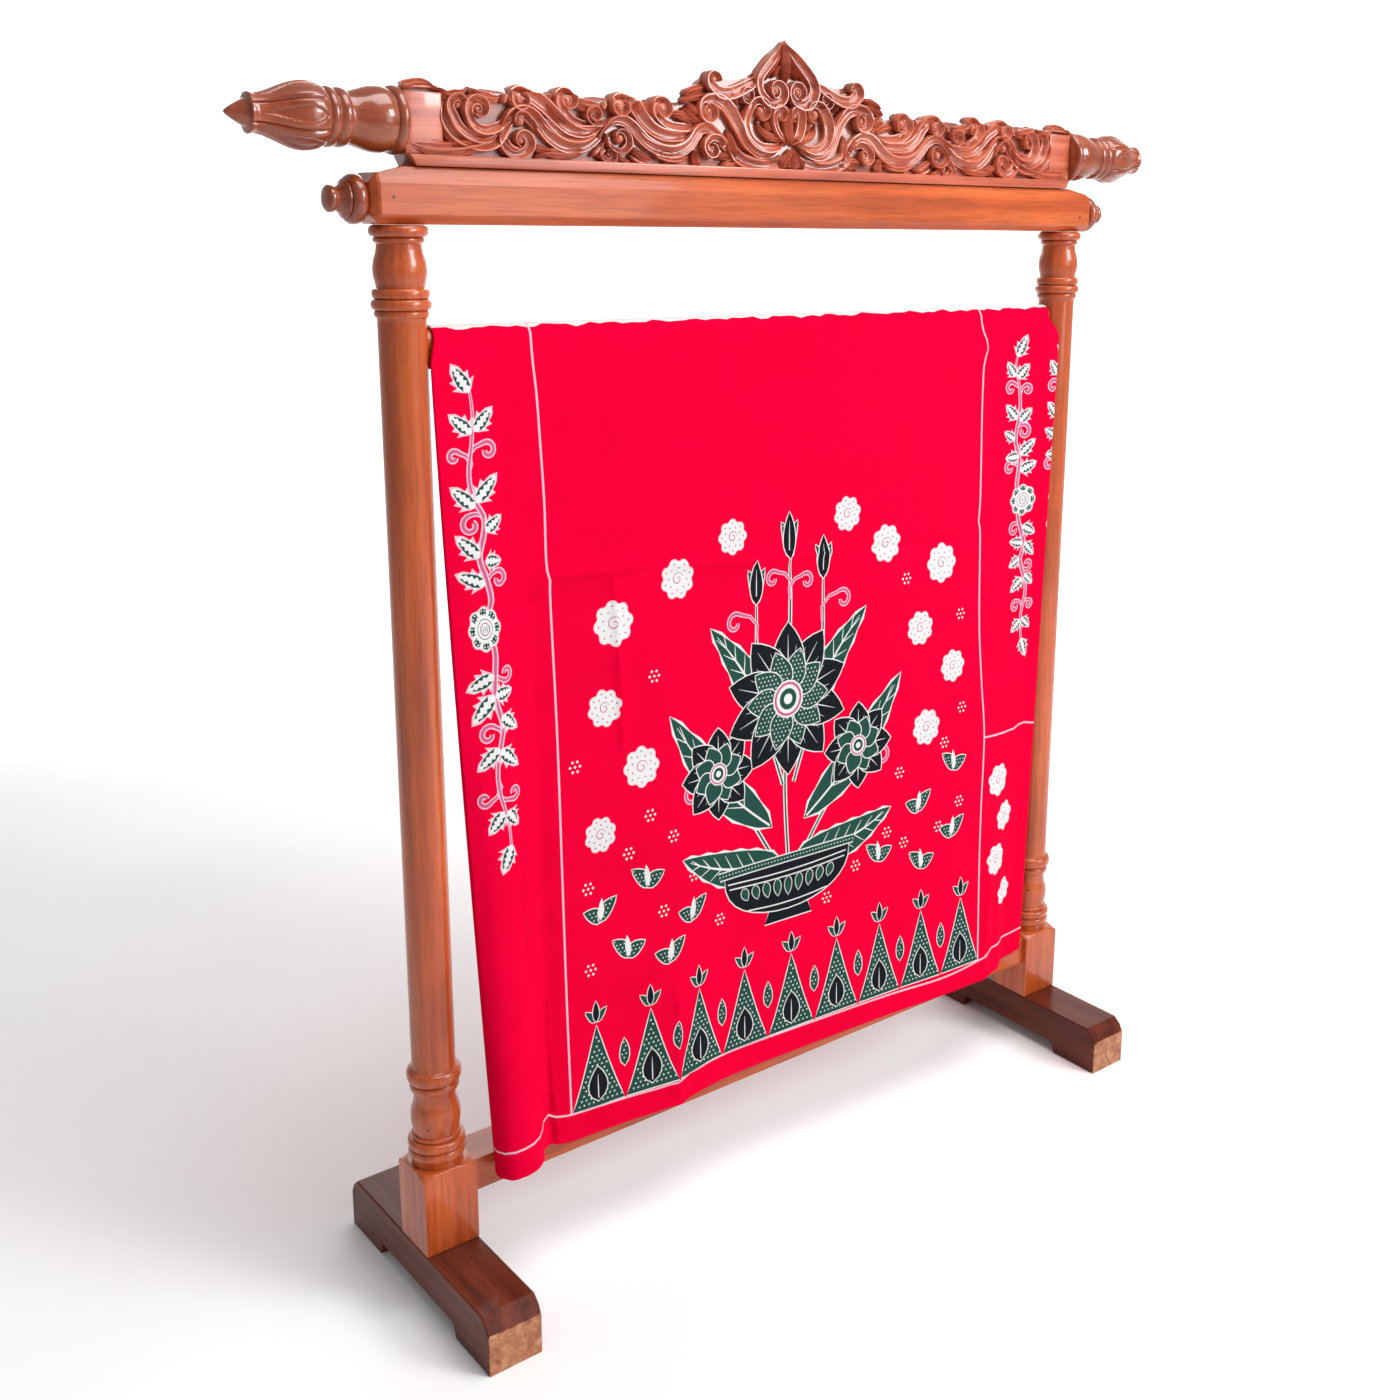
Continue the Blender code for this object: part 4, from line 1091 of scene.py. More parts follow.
def anticlockwise(outline):
    area = 0.0
    for (ax, ay), (bx, by) in zip(outline, outline[1:] + outline[:1]):
        area += ax * by - ay * bx
    return outline if area > 0 else outline[::-1]


def grown(outline, by):
    """An outline moved outwards, for the wax line round a shape."""
    outline = anticlockwise(outline)
    made = []
    for k, (x, y) in enumerate(outline):
        before, after = outline[k - 1], outline[(k + 1) % len(outline)]
        run = Vector((after[0] - before[0], after[1] - before[1])).normalized()
        made.append((x + run.y * by, y - run.x * by))
    return made


def moved(shapes, across, mirror=False):
    sign = -1 if mirror else 1
    return [(dye, [(sign * x + across, y) for x, y in outline]) for dye, outline in shapes]


def ribbon(dye, way, width, start=1.0, end=1.0, step=5.0, smooth=True):
    """A line of even width that thins towards its start or end, to the shares given."""
    line = smooth_line(way, step=step) if smooth else [Vector(p) for p in way]
    last = len(line) - 1
    left, right = [], []
    for k, place in enumerate(line):
        run = (line[min(k + 1, last)] - line[max(k - 1, 0)]).normalized()
        share = k / last
        half = width / 2 * min(1.0, start + (1 - start) * share / 0.3, end + (1 - end) * (1 - share) / 0.3)
        left.append((place.x - run.y * half, place.y + run.x * half))
        right.append((place.x + run.y * half, place.y - run.x * half))
    return (dye, left + right[::-1])


def curl(start, centre, radius, turn, width=7.6):
    """A tendril from the stem that winds in to a blunt end. turn is 1 anticlockwise and -1 clockwise."""
    out = Vector((start[0] - centre[0], start[1] - centre[1]))
    angle = math.atan2(out.y, out.x)
    way = []
    for k in range(17):
        share = k / 16
        r = along(((0.0, out.length), (0.22, radius), (1.0, radius * 0.32)), share)
        a = angle + turn * math.tau * 1.12 * share
        way.append((centre[0] + r * math.cos(a), centre[1] + r * math.sin(a)))
    return [
        ribbon("pale", way, width, 0.6, 0.85, smooth=False),
        ribbon("rose", way, width * 0.56, 0.4, 0.8, smooth=False),
    ]


LEAF_TEETH = 3


def leaf(base, tip, width):
    """A toothed leaf with a pale rim and a comb of dark strokes along both sides."""
    start, end = Vector(base), Vector(tip)
    run = end - start
    side = Vector((-run.y, run.x)).normalized() * width * 0.68

    def place(share, across):
        spread = math.sin(math.pi * min(share, 1.0) ** 0.72) ** 0.75 if 0 < share < 1 else 0.0
        p = start + run * share + side * across * spread
        return (p.x, p.y)

    shapes = []
    for dye, size in (("pale", 1.20), ("white", 0.84)):
        outline = [place(0.0, 0)]
        for sign in (1, -1):
            edge = []
            for k in range(LEAF_TEETH):
                edge.append(place(0.08 + 0.78 * k / LEAF_TEETH, 0.80 * size * sign))
                if dye == "pale":
                    edge.append(place(0.08 + 0.78 * (k + 0.5) / LEAF_TEETH, 1.00 * size * sign))
                edge.append(place(0.08 + 0.78 * (k + 1.04) / LEAF_TEETH, 1.42 * size * sign))
            outline += edge if sign > 0 else edge[::-1]
            if sign > 0:
                far = 1.0 + 0.3 * (size - 0.90)
                outline.append((start.x + run.x * far, start.y + run.y * far))
        shapes.append((dye, outline))
    for sign in (1, -1):
        comb = [place(0.12 + 0.76 * k / 3, 0.80 * sign) for k in range(4)]
        for k in range(4, 0, -1):
            comb.append(place(0.08 + 0.72 * k / 4, 0.24 * sign))
            comb.append(place(0.08 + 0.72 * (k - 0.5) / 4, 0.60 * sign))
        shapes.append(("green", comb))
    return shapes


# The dark heart of a petal: its place round the flower, in petals, and its share of the radius
PETAL_HEART = (
    (-0.36, 0.60), (-0.18, 0.70), (0.0, 0.60), (0.18, 0.70), (0.36, 0.60), (0.31, 0.88),
    (0.0, 0.93), (-0.31, 0.88),
)


def round_flower(centre, width, height, petals):
    """A flower of round petals, each with a dark heart, round a ringed middle."""
    x, y = centre

    def around(radius, angle):
        return (x + width / 2 * radius * math.cos(angle), y + height / 2 * radius * math.sin(angle))

    def lobes(size):
        outline = []
        for k in range(petals):
            for j in range(5):
                angle = math.tau * (k + (j - 2) / 5) / petals
                outline.append(around(size * (0.80 + 0.20 * math.cos(math.pi * (j - 2) / 5) ** 0.6), angle))
        return outline

    def ring(radius):
        return [around(radius, math.tau * k / 18) for k in range(18)]

    shapes = [("pale", lobes(1.05)), ("white", lobes(0.98))]
    for k in range(petals):
        heart = []
        for off, radius in PETAL_HEART:
            heart.append(around(radius, math.tau * (k + off) / petals))
        shapes.append(("green", heart))
        for off in (-0.15, 0.15):
            shapes.append(dot("white", around(0.81, math.tau * (k + off) / petals), 1.3))
    for dye, radius in (("green", 0.47), ("white", 0.435), ("rose", 0.30), ("white", 0.25)):
        shapes.append((dye, ring(radius)))
    for k in range(5):
        off = (k - 2) * 0.13
        stroke = ((x + off * width / 2, y - 0.16 * height / 2), (x + off * width / 2, y + 0.16 * height / 2))
        shapes.append(ribbon("green", stroke, 0.9, 0.5, 0.5, step=20))
    return shapes


def dot(dye, centre, radius, corners=4):
    x, y = centre
    turns = [math.tau * k / corners for k in range(corners)]
    return (dye, [(x + radius * math.cos(a), y + radius * math.sin(a)) for a in turns])


def vine(stem, leaves, curls, flower):
    shapes = []
    for start, centre, radius, turn in curls:
        shapes += curl(start, centre, radius, turn)
    for dye, width in (("pale", 8.2), ("rose", 4.2)):
        shapes.append(ribbon(dye, stem, width, 0.4, 0.45, step=9))
    for base, tip, width in leaves:
        shapes += leaf(base, tip, width)
    return shapes + round_flower(*flower)


LEFT_VINE = vine(
    ((-494, 1010), (-492, 985), (-495, 950), (-501, 915), (-498, 885), (-486, 860), (-487, 840),
     (-495, 812), (-488, 785), (-483, 755), (-492, 725), (-483, 695), (-485, 665), (-487, 635),
     (-479, 600), (-484, 575), (-491, 545), (-490, 515), (-481, 475), (-479, 440)),
    (((-494, 1008), (-514, 1040), 14), ((-494, 960), (-520, 983), 13), ((-491, 962), (-468, 988), 13),
     ((-495, 878), (-466, 908), 14), ((-496, 872), (-524, 898), 14), ((-485, 842), (-462, 858), 13),
     ((-494, 812), (-522, 840), 14), ((-488, 806), (-466, 804), 13), ((-489, 778), (-525, 795), 14),
     ((-486, 665), (-522, 652), 15), ((-488, 641), (-518, 610), 16), ((-487, 638), (-461, 642), 14),
     ((-480, 612), (-456, 592), 14), ((-486, 573), (-516, 551), 14), ((-486, 570), (-459, 545), 14),
     ((-486, 491), (-508, 468), 14), ((-482, 490), (-462, 468), 14), ((-478, 446), (-494, 413), 15)),
    (((-501, 914), (-518, 934), 8, 1), ((-498, 926), (-476, 938), 11, -1), ((-486, 857), (-502, 852), 12, 1),
     ((-486, 778), (-471, 782), 11, -1), ((-484, 675), (-469, 665), 10, 1), ((-482, 580), (-499, 592), 12, 1),
     ((-492, 535), (-511, 513), 9, -1), ((-492, 523), (-469, 512), 9, 1)),
    ((-494, 724), 42, 55, 8),
)
RIGHT_VINE = vine(
    ((464, 1008), (462, 990), (468, 970), (472, 945), (472, 920), (466, 885), (468, 870), (475, 850),
     (475, 835), (472, 808), (477, 780), (477, 760), (482, 742), (490, 722), (492, 706), (486, 688),
     (492, 668), (499, 648), (500, 628), (494, 600), (494, 575), (498, 548)),
    (((464, 1008), (480, 1040), 13), ((462, 978), (446, 1000), 12), ((466, 975), (485, 996), 13),
     ((468, 912), (446, 934), 13), ((473, 908), (493, 927), 13), ((465, 880), (444, 893), 11),
     ((475, 855), (502, 878), 13), ((475, 853), (448, 852), 13), ((477, 830), (507, 842), 14),
     ((487, 741), (513, 728), 13), ((491, 713), (462, 718), 12), ((493, 714), (513, 693), 12),
     ((485, 689), (462, 678), 12), ((493, 656), (468, 637), 13), ((497, 662), (514, 645), 11),
     ((493, 587), (473, 570), 12), ((495, 590), (513, 573), 11), ((497, 556), (507, 526), 12)),
    (((471, 945), (454, 960), 10, 1), ((473, 945), (484, 957), 8, -1), ((468, 895), (481, 892), 11, -1),
     ((475, 825), (456, 836), 10, 1), ((489, 731), (470, 737), 10, 1), ((487, 686), (501, 678), 9, 1),
     ((495, 607), (480, 611), 9, 1), ((496, 612), (509, 611), 7, -1)),
    ((485, 783), 50, 49, 8),
)
LEFT_FRAME = ((-411, 1090), (-408, 1040), (-404, 1000), (-401, 940), (-398, 865), (-398, 790), (-394, 772),
              (-394, 740), (-391, 570), (-391, 365), (-391, 212), (-390, 38))
RIGHT_FRAME = ((380, 1090), (386, 1056), (395, 1040), (398, 1019), (392, 1003), (390, 950), (390, 802),
               (387, 757), (391, 738), (393, 600), (401, 500), (409, 413), (404, 300), (401, 200), (400, 38))
HEM_LINE = ((-1055, 37), (-800, 36), (-600, 37), (-480, 39), (-430, 45), (-405, 40), (-300, 36), (-215, 34),
            (-140, 38), (0, 36), (200, 33), (320, 30), (400, 36), (440, 44), (500, 40), (700, 36), (1055, 37))
STRIP_LINE = ((409, 410), (450, 407), (489, 404), (501, 409), (518, 409), (560, 402), (680, 404))


def petal(base, tip, width, lean=0.0, points=8):
    """The outline of a pointed petal. lean bends its tip to one side."""
    start, end = Vector(base), Vector(tip)
    run = end - start
    side = Vector((-run.y, run.x)).normalized()
    edges = {1: [], -1: []}
    for sign, edge in edges.items():
        for k in range(1, points):
            share = k / points
            half = width / 2 * math.sin(math.pi * share**0.8) ** 0.85
            p = start + run * share + side * (sign * half + lean * math.sin(math.pi * share))
            edge.append((p.x, p.y))
    return [tuple(base), *edges[-1], tuple(tip), *edges[1][::-1]]


def within(outline, x, y):
    inside = False
    for (ax, ay), (bx, by) in zip(outline, outline[1:] + outline[:1]):
        if (ay > y) != (by > y) and x < ax + (bx - ax) * (y - ay) / (by - ay):
            inside = not inside
    return inside


def waxed(outline, dye="green", line=1.7, dots=None):
    """A dyed shape in a line of wax, with small wax dots in it if dots gives their spacing."""
    outline = anticlockwise(outline)
    shapes = [("white", grown(outline, line)), (dye, outline)]
    if dots:
        core = grown(outline, -dots * 0.36)
        xs, ys = [x for x, y in outline], [y for x, y in outline]
        row = 0
        y = min(ys)
        while y < max(ys):
            x = min(xs) + (row % 2) * dots / 2
            while x < max(xs):
                if within(core, x, y):
                    angle = (x * 0.37 + y * 0.61) % 6.28
                    size = dots * 0.27
                    corners = [
                        (x + size * math.cos(angle + k * 2.0944), y + size * math.sin(angle + k * 2.0944))
                        for k in range(3)
                    ]
                    shapes.append(("white", corners))
                x += dots
            y += dots * 0.87
            row += 1
    return shapes


def peak(middle, foot, half, height):
    """A tall triangle with slightly hollow sides, as in the end border of many cloths."""
    outline = []
    for k in range(13):
        share = k / 12
        bend = 1 - abs(2 * share - 1)
        outline.append((middle - half + 2 * half * share, foot + height * bend**1.2))
    return outline


def peak_border():
    """A row of dotted triangles side by side on the hem line, each with a bud in it."""
    shapes = []
    for k in range(9):
        middle = -346 + 88 * k
        shapes += waxed(peak(middle, 39, 42.5, 116), dots=7.6)
        bud = petal((middle, 46), (middle, 96), 30, 0, 7)
        shapes += waxed(bud, "black", 1.6)
        shapes.append(ribbon("white", ((middle, 50), (middle, 84)), 1.6, 1, 0.3, step=20))
        for sign in (-1, 1):
            side_bud = petal((middle + 3 * sign, 160), (middle + 17 * sign, 178), 9, 2 * sign, 5)
            shapes += waxed(side_bud, "green", 1.3)
        shapes += waxed(petal((middle, 160), (middle, 190), 10, 0, 5), "black", 1.3)
        between = middle + 44
        if k < 8:
            shapes += waxed(petal((between, 84), (between, 124), 15, 0, 6), "green", 1.5, 6.5)
    return shapes


def lotus(centre, radius, petals):
    """An open flower: an outer and an inner round of pointed petals with wax veins, and a ringed eye."""
    x, y = centre
    shapes = []
    for size, tone, shift in ((1.0, "black", 0.0), (0.66, "green", 0.5)):
        for k in range(petals):
            angle = math.pi / 2 + math.tau * ((k + shift) / petals - 0.5)
            way = Vector((math.cos(angle), math.sin(angle)))
            tip = (x + way.x * radius * size, y + way.y * radius * size)
            near = (x + way.x * radius * 0.12, y + way.y * radius * 0.12)
            wide = radius * size * min(math.tau / petals, 0.9) * 0.86
            dots = 6.8 if tone == "green" and radius > 70 else None
            shapes += waxed(petal(near, tip, wide), tone, 1.7, dots)
            if tone == "green":
                continue
            for share, length in ((0, 0.84), (0.16, 0.7), (-0.16, 0.7)):
                turn = angle + share * math.tau / petals * 2
                a = (x + math.cos(turn) * radius * 0.3, y + math.sin(turn) * radius * 0.3)
                b = (x + math.cos(turn) * radius * length, y + math.sin(turn) * radius * length)
                shapes.append(ribbon("white", (a, b), 1.6, 1, 0.2, step=30))
    rings = (("white", 0.25), ("rose", 0.225), ("white", 0.19), ("green", 0.14), ("white", 0.07))
    for tone, size in rings:
        shapes.append(dot(tone, centre, radius * size, 16))
    return shapes


def broad_leaf(base, tip, width, lean):
    """A broad green leaf with toothed wax edge and a white midrib with veins."""
    body = anticlockwise(petal(base, tip, width, lean, 12))
    start, end = Vector(base), Vector(tip)
    run = end - start
    side = Vector((-run.y, run.x)).normalized()
    near, far = grown(body, 1.2), grown(body, 4.2)
    teeth = [far[k] if k % 2 else near[k] for k in range(len(body))]
    shapes = [("white", teeth), ("green", body)]
    middle = []
    for k in range(7):
        share = 0.02 + 0.9 * k / 6
        p = start + run * share + side * lean * math.sin(math.pi * share)
        middle.append((p.x, p.y))
    shapes.append(ribbon("white", middle, 3.2, 1, 0.25, step=8))
    for k in range(1, 7):
        share = 0.12 + 0.115 * k
        root = start + run * share + side * lean * math.sin(math.pi * share)
        for sign in (-1, 1):
            half = width / 2 * math.sin(math.pi * (share + 0.06) ** 0.8) ** 0.85 * 0.78
            end_at = root + run * 0.10 + side * sign * half
            shapes.append(ribbon("white", ((root.x, root.y), (end_at.x, end_at.y)), 1.5, 1, 0.4, step=30))
    return shapes


def rosette(centre, radius, lobes=8, turn=0.0):
    """A small white flower with rose dots and a coiled middle."""
    x, y = centre

    def around(r, angle):
        return (x + r * math.cos(angle + turn), y + r * math.sin(angle + turn))

    outline = []
    for k in range(lobes):
        for j in range(5):
            part = (j - 2) / 5
            out = radius * (0.74 + 0.26 * math.cos(math.pi * part) ** 0.7)
            outline.append(around(out, math.tau * (k + part) / lobes))
    shapes = [("pale", grown(outline, 1.3)), ("white", outline)]
    for k in range(lobes):
        for r, shift in ((0.78, 0.0), (0.56, 0.5)):
            shapes.append(dot("rose", around(radius * r, math.tau * (k + shift) / lobes), 1.6))
    way = []
    for k in range(16):
        share = k / 15
        way.append(around(radius * (0.36 - 0.28 * share), math.tau * 1.3 * share))
    shapes.append(ribbon("rose", way, 1.5, 0.4, 0.6, smooth=False))
    return shapes


def bouquet():
    """The middle of the cloth: a bowl of open flowers with broad leaves, buds and curled tendrils."""
    shapes = []
    stems = (
        ((0, 300), (-6, 420), (0, 560)),
        ((-20, 300), (-70, 380), (-128, 452)),
        ((20, 300), (74, 372), (134, 440)),
        ((-10, 420), (-52, 560), (-58, 690)),
        ((10, 420), (60, 570), (66, 712)),
        ((0, 560), (4, 680), (2, 750)),
    )
    for stem in stems:
        shapes.append(ribbon("white", stem, 7.0, 1, 0.6, step=14))
        shapes.append(ribbon("green", stem, 3.0, 1, 0.6, step=14))
    for base, tip, width, lean in (
        ((-16, 310), (-196, 352), 52, 16),
        ((16, 310), (204, 340), 52, -16),
        ((-30, 360), (-214, 560), 56, 14),
        ((30, 360), (222, 548), 56, -14),
        ((-20, 480), (-140, 668), 48, -12),
        ((20, 480), (150, 660), 48, 12),
    ):
        shapes += broad_leaf(base, tip, width, lean)
    for start, centre, radius, turn in (
        ((-58, 640), (-96, 668), 15, 1),
        ((64, 650), (104, 676), 15, -1),
        ((-100, 420), (-176, 440), 15, 1),
        ((104, 412), (184, 424), 15, -1),
        ((3, 700), (-28, 722), 12, 1),
        ((3, 690), (34, 712), 12, -1),
    ):
        shapes += curl(start, centre, radius, turn, 7)
    shapes += lotus((-128, 460), 66, 8)
    shapes += lotus((136, 450), 66, 8)
    shapes += lotus((0, 545), 112, 10)
    for x, y, tall in ((-58, 690, 62), (66, 712, 62), (2, 748, 66)):
        for sign in (-1, 1):
            shapes += waxed(petal((x, y), (x + 15 * sign, y + tall * 0.8), 18, 5 * sign), "green", 1.6, 6)
        shapes += waxed(petal((x, y), (x, y + tall), 22), "black", 1.6)
        shapes.append(ribbon("white", ((x, y + 12), (x, y + tall * 0.8)), 1.6, 1, 0.2, step=30))
    # The bowl: a foot, a round belly with bands, and a rim
    belly = []
    for k in range(17):
        angle = math.pi * k / 16
        belly.append((-118 * math.cos(angle), 304 - 74 * math.sin(angle) ** 0.8))
    shapes += waxed([(-44, 214), (44, 214), (34, 236), (-34, 236)], "black", 1.8)
    shapes += waxed(belly, "black", 1.8)
    for y, half in ((292, 112), (284, 109), (244, 74)):
        band = ((-half, y), (-half / 3, y - 4), (half / 3, y - 4), (half, y))
        shapes.append(ribbon("white", band, 2, step=14))
    for k in range(9):
        x = -84 + 21 * k
        low = 250 + abs(x) * 0.12
        shapes += waxed(petal((x, 279), (x * 0.9, low), 13, 0, 6), "green", 1.2)
    shapes += waxed([(-126, 302), (126, 302), (130, 312), (-130, 312)], "green", 1.8, 6)
    return shapes


def strewn_flowers():
    shapes = []
    for x, y, radius, turn in (
        (-300, 700, 30, 0.1), (-196, 745, 27, 0.3), (-318, 590, 25, 0.2), (-262, 500, 28, 0.0),
        (-330, 420, 24, 0.3), (190, 748, 28, 0.2), (306, 705, 30, 0.0), (262, 610, 26, 0.3),
        (334, 540, 25, 0.1), (278, 452, 28, 0.2), (-100, 790, 24, 0.0), (112, 800, 25, 0.2),
    ):
        shapes += rosette((x, y), radius, 8, turn)
    # Drop-shaped leaves in pairs over the border
    for x, y, lean in (
        (-334, 300, 1), (-256, 330, -1), (-180, 262, 1), (-290, 238, -1), (-222, 214, 1),
        (180, 258, -1), (262, 320, 1), (340, 372, -1), (336, 264, 1), (270, 226, -1),
    ):
        for sign in (-1, 1):
            drop = petal((x - 2 * sign, y), (x + 26 * sign, y + 24 + 6 * lean * sign), 19, 3 * sign, 6)
            shapes += waxed(drop, "green", 1.6, 6.2)
        shapes += waxed(petal((x, y + 2), (x + 3 * lean, y + 32), 8, 0, 5), "white", 0.8)
    # Seven dots, a common filling
    for x, y in (
        (-352, 350), (-286, 384), (-212, 392), (-352, 236), (-232, 290), (-176, 326), (-128, 246),
        (74, 226), (132, 262), (196, 300), (232, 276), (306, 286), (222, 390), (318, 420),
        (352, 318), (356, 470), (-366, 520), (-238, 620), (232, 690), (-250, 430), (350, 620),
    ):
        for k in range(7):
            out = 7.5 if k else 0.0
            place = (x + out * math.cos(math.pi * k / 3), y + out * math.sin(math.pi * k / 3))
            shapes.append(dot("white", place, 2.3))
    return shapes


def selvedge(low, high, wander):
    """A band that the dye didn't reach evenly, with a ragged lower edge."""
    lower, upper = [], []
    count = 180
    for k in range(count + 1):
        x = (-1 + 2 * k / count) * (HALF_WIDTH / MM - 1)
        fine = 0.8 * math.sin(x * 0.41 + math.sin(x * 0.05))
        ragged = math.sin(x * 0.19) + math.sin(x * 0.083 + 1.7) + fine
        lower.append((x, low + wander * ragged * 0.5))
        upper.append((x, high + wander * 0.4 * math.sin(x * 0.27 + 0.6)))
    return ("white", lower + upper[::-1])


VINE_SHIFTS = (78, -176)
FRAME_SHIFTS = (-1145, 1090)


def cloth_pattern():
    width, length = HALF_WIDTH / MM, CLOTH_LENGTH / MM
    rim = [(-width, 0.0)]
    rim += [(x, 0.0) for x in grid_across()] + [(width, 0.0)]
    rim += [(width, y) for y in grid_up()] + [(width, length)]
    rim += [(x, length) for x in reversed(grid_across())] + [(-width, length)]
    rim += [(-width, y) for y in reversed(grid_up())]
    shapes = [("red", rim)]
    shapes.append(selvedge(1083.5, 1100, 3.0))
    shapes.append(selvedge(length - 4, length - 0.5, 0.8))
    shapes += peak_border()
    shapes += strewn_flowers()
    shapes += bouquet()
    for way in (LEFT_FRAME, RIGHT_FRAME, HEM_LINE, STRIP_LINE):
        shapes.append(ribbon("pale", way, 3.0, step=14))
    for x, y, radius in ((448, 330, 26), (470, 262, 24), (444, 196, 25), (476, 128, 22)):
        shapes += rosette((x, y), radius, 7, 0.2)
    shapes += LEFT_VINE
    shapes += RIGHT_VINE
    # The ends that are folded behind carry the vine and the frame lines again
    shapes += moved(RIGHT_VINE, VINE_SHIFTS[0])
    shapes += moved(RIGHT_VINE, VINE_SHIFTS[1], True)
    for way, shift in zip((LEFT_FRAME, RIGHT_FRAME), FRAME_SHIFTS):
        shapes += moved([ribbon("pale", way, 3.0, step=14)], shift, True)
    return shapes


# Where the flat cloth is folded at its sides and where it bends over the rail, in millimetres.
# Lines of the mesh run along the folds and the bends, so that no triangle cuts across one
FOLD_MIDDLE = (FRONT_WIDTH + TURN_WIDTH) / 2 / MM
FOLD_REACH = 6.6
FOLD_STEP = 1.1
BEND_ROWS = tuple((DROP + WRAP * k / 9) / MM for k in range(10))


def fold_columns():
    places = [FOLD_MIDDLE + FOLD_STEP * k for k in range(-6, 7)]
    return [-x for x in reversed(places)] + places


def grid_up():
    return [26.0 * k for k in range(1, 41)] + [1048.0, 1056.0, 1064.0]


def grid_across():
    acrosses = fold_columns()
    x = -HALF_WIDTH / MM + 2
    while x < HALF_WIDTH / MM - 1:
        if abs(abs(x) - FOLD_MIDDLE) > FOLD_REACH + 1:
            acrosses.append(x)
        if -540 < x < -395:
            x += 6.5
        elif 395 < x < 540:
            x += 9.0
        elif abs(x) < 395:
            x += 18.0
        else:
            x += 26.0
    return sorted(acrosses)


def inner_points():
    """Places between the shapes, closer together where the cloth bends."""
    places = []
    for x in grid_across():
        stray = 3.1 * math.sin(x * 0.7) if abs(abs(x) - FOLD_MIDDLE) > FOLD_REACH + 1 else 0.0
        places += [(x, y + stray) for y in grid_up()]
    for way, _, width in CREASES:
        line = smooth_line(way, step=13)
        for p, q in zip(line, line[1:]):
            run = (q - p).normalized()
            for share in (-1.6, -0.7, 0.0, 0.7, 1.6):
                places.append((p.x - run.y * width * share, p.y + run.x * width * share))
    return [(x, y) for x, y in places if abs(x) < HALF_WIDTH / MM - 1 and 1 < y < CLOTH_LENGTH / MM - 1]


def crease_ways():
    """The creases as smooth lines, each with the box that it reaches."""
    ways = []
    for way, height, width in CREASES:
        line = smooth_line(way, step=12)
        reach = 3 * width
        xs, ys = zip(*line)
        box = (min(xs) - reach, min(ys) - reach, max(xs) + reach, max(ys) + reach)
        ways.append((box, line, height, width))
    return ways


def cut_flat(shapes):
    """The flat cloth cut along the outlines: its places, its triangles and the top shape on each."""
    wide, long = HALF_WIDTH / MM, CLOTH_LENGTH / MM
    flat, outlines = [], []
    for _, outline in shapes:
        outline = anticlockwise(outline)
        outlines.append(list(range(len(flat), len(flat) + len(outline))))
        flat += [(min(max(x, -wide), wide), min(max(y, 0.0), long)) for x, y in outline]
    flat += inner_points()
    lines = [((x, 0.0), (x, long)) for x in fold_columns()]
    lines += [((-wide, y), (wide, y)) for y in BEND_ROWS]
    folds = []
    for ends in lines:
        folds.append((len(flat), len(flat) + 1))
        flat += ends
    flat = [Vector(p) for p in flat]
    places, _, triangles, _, _, owners = delaunay_2d_cdt(flat, folds, outlines, 1, 1e-3)
    return places, triangles, [max(owner) for owner in owners]


def hang(places):
    """Both sides of the sheet where it hangs, with its creases. The slope at a place is read from
    its neighbours at PROBE millimetres."""
    columns = cloth_columns()
    starts = [column[0] for column in columns]
    ways = crease_ways()

    def at(x, y):
        return hung(columns, starts, x * MM, y * MM)

    outer, inner = [], []
    for x, y in places:
        across = at(x + PROBE, y) - at(x - PROBE, y)
        up = at(x, y + PROBE) - at(x, y - PROBE)
        normal = across.cross(up).normalized()
        middle = at(x, y)
        if abs(x) < CREASED_TO[0] and y < CREASED_TO[1]:
            middle += normal * crease_height(ways, x, y) * MM
        outer.append(middle + normal * SEEN_THICKNESS / 2)
        inner.append(middle - normal * SEEN_THICKNESS / 2)
    return [*outer, *inner]


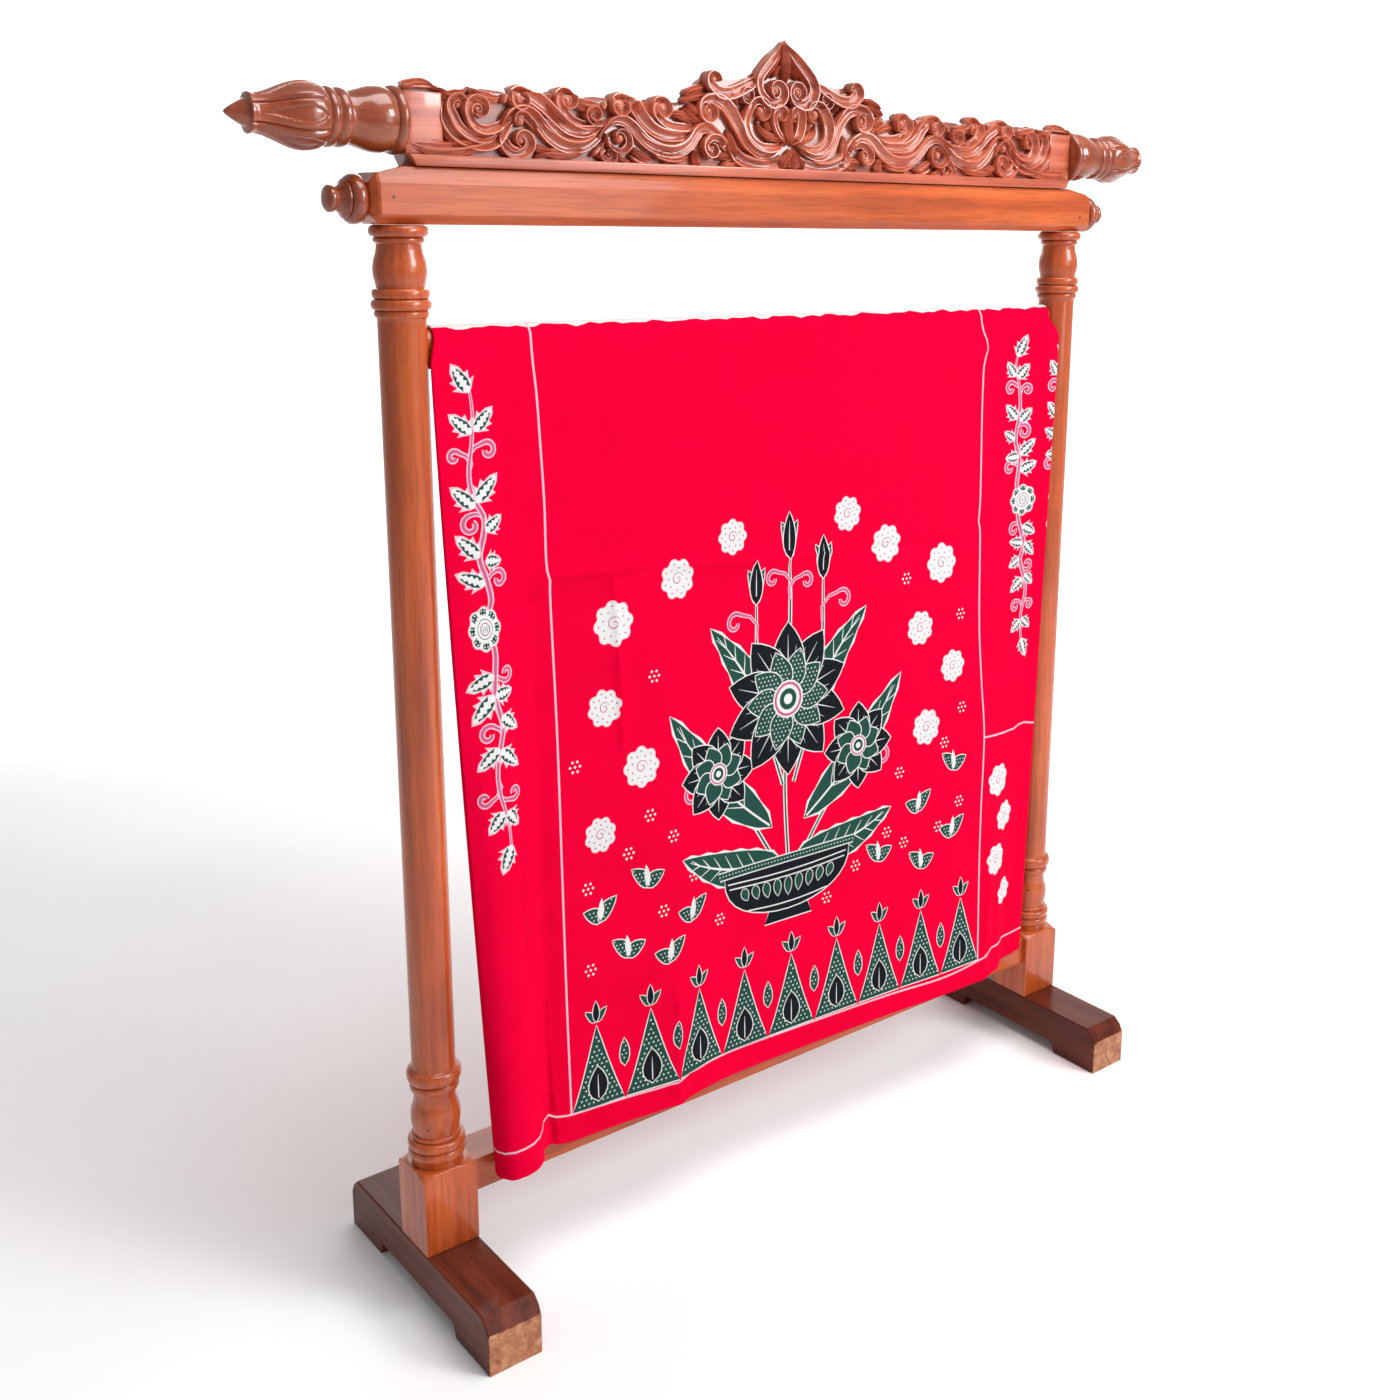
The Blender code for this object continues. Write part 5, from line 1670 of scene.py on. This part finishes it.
def sheet_faces(places, triangles, dyes):
    """The faces on both sides of the sheet and along its cut edge, with each one's dye and the flat
    places of its corners."""
    wide, long = HALF_WIDTH / MM, CLOTH_LENGTH / MM
    count = len(places)
    faces, shades, corners, sides = [], [], [], {}
    for (a, b, c), dye in zip(triangles, dyes):
        faces += [(a, b, c), (c + count, b + count, a + count)]
        shades += [dye, dye]
        corners += [places[k] for k in (a, b, c, c, b, a)]
        for side in ((a, b), (b, c), (c, a)):
            sides[side] = dye
    # The cut edge, which takes its colour from the face beside it
    for (p, q), dye in sides.items():
        if (q, p) in sides:
            continue
        faces.append((q, p, p + count, q + count))
        shades.append(dye)
        for k, inset in ((q, 0.0), (p, 0.0), (p, 1.5), (q, 1.5)):
            x, y = places[k]
            toward_x = -math.copysign(inset, x) if abs(x) > wide - 0.01 else 0.0
            toward_y = inset if y < 0.01 else -inset if y > long - 0.01 else 0.0
            corners.append((x + toward_x, y + toward_y))
    return faces, shades, corners


def build_cloth(cotton):
    """The cloth as one thin sheet, cut along the pattern's outlines and hung on its folds."""
    shapes = cloth_pattern()
    places, triangles, tops = cut_flat(shapes)
    dyes = [DYES.index(shapes[top][0]) / len(DYES) for top in tops]
    faces, shades, corners = sheet_faces(places, triangles, dyes)
    mesh = bpy.data.meshes.new("batik")
    mesh.from_pydata(hang(places), [], faces)
    wide = HALF_WIDTH / MM
    spots = [value for x, y in corners for value in ((x + wide) / (2 * wide), y / (2 * wide))]
    mesh.uv_layers.new(name="OFBake").data.foreach_set("uv", spots)
    mesh.attributes.new("dye", "FLOAT", "FACE").data.foreach_set("value", shades)
    cloth = add_piece("batik", mesh, cotton, 70)
    stands_for(cloth, "batik_cloth")


def main():
    upright = varnished_mahogany("varnished_mahogany_turned", "Z")
    lengthwise = varnished_mahogany("varnished_mahogany_beam", "X", coat=0.35)
    carved = varnished_mahogany("varnished_mahogany_carved", "X", "carved", coat=0.7, sheen=0.45)
    footed = varnished_mahogany("varnished_mahogany_feet", "Y", "foot", coat=0.12, sheen=0.15)
    for name in ("beam", "lower_rail", "cloth_rail"):
        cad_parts[name].data.materials[0] = lengthwise
    for name in ("foot_left", "foot_right"):
        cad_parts[name].data.materials[0] = footed
    build_posts(upright)
    build_finials(varnished_mahogany("varnished_mahogany_finials", "X", "turned", coat=0.85))
    build_crest(carved)
    build_cloth(wax_dyed_cotton())
    build_stage()
    light_studio()
    place_camera()


main()
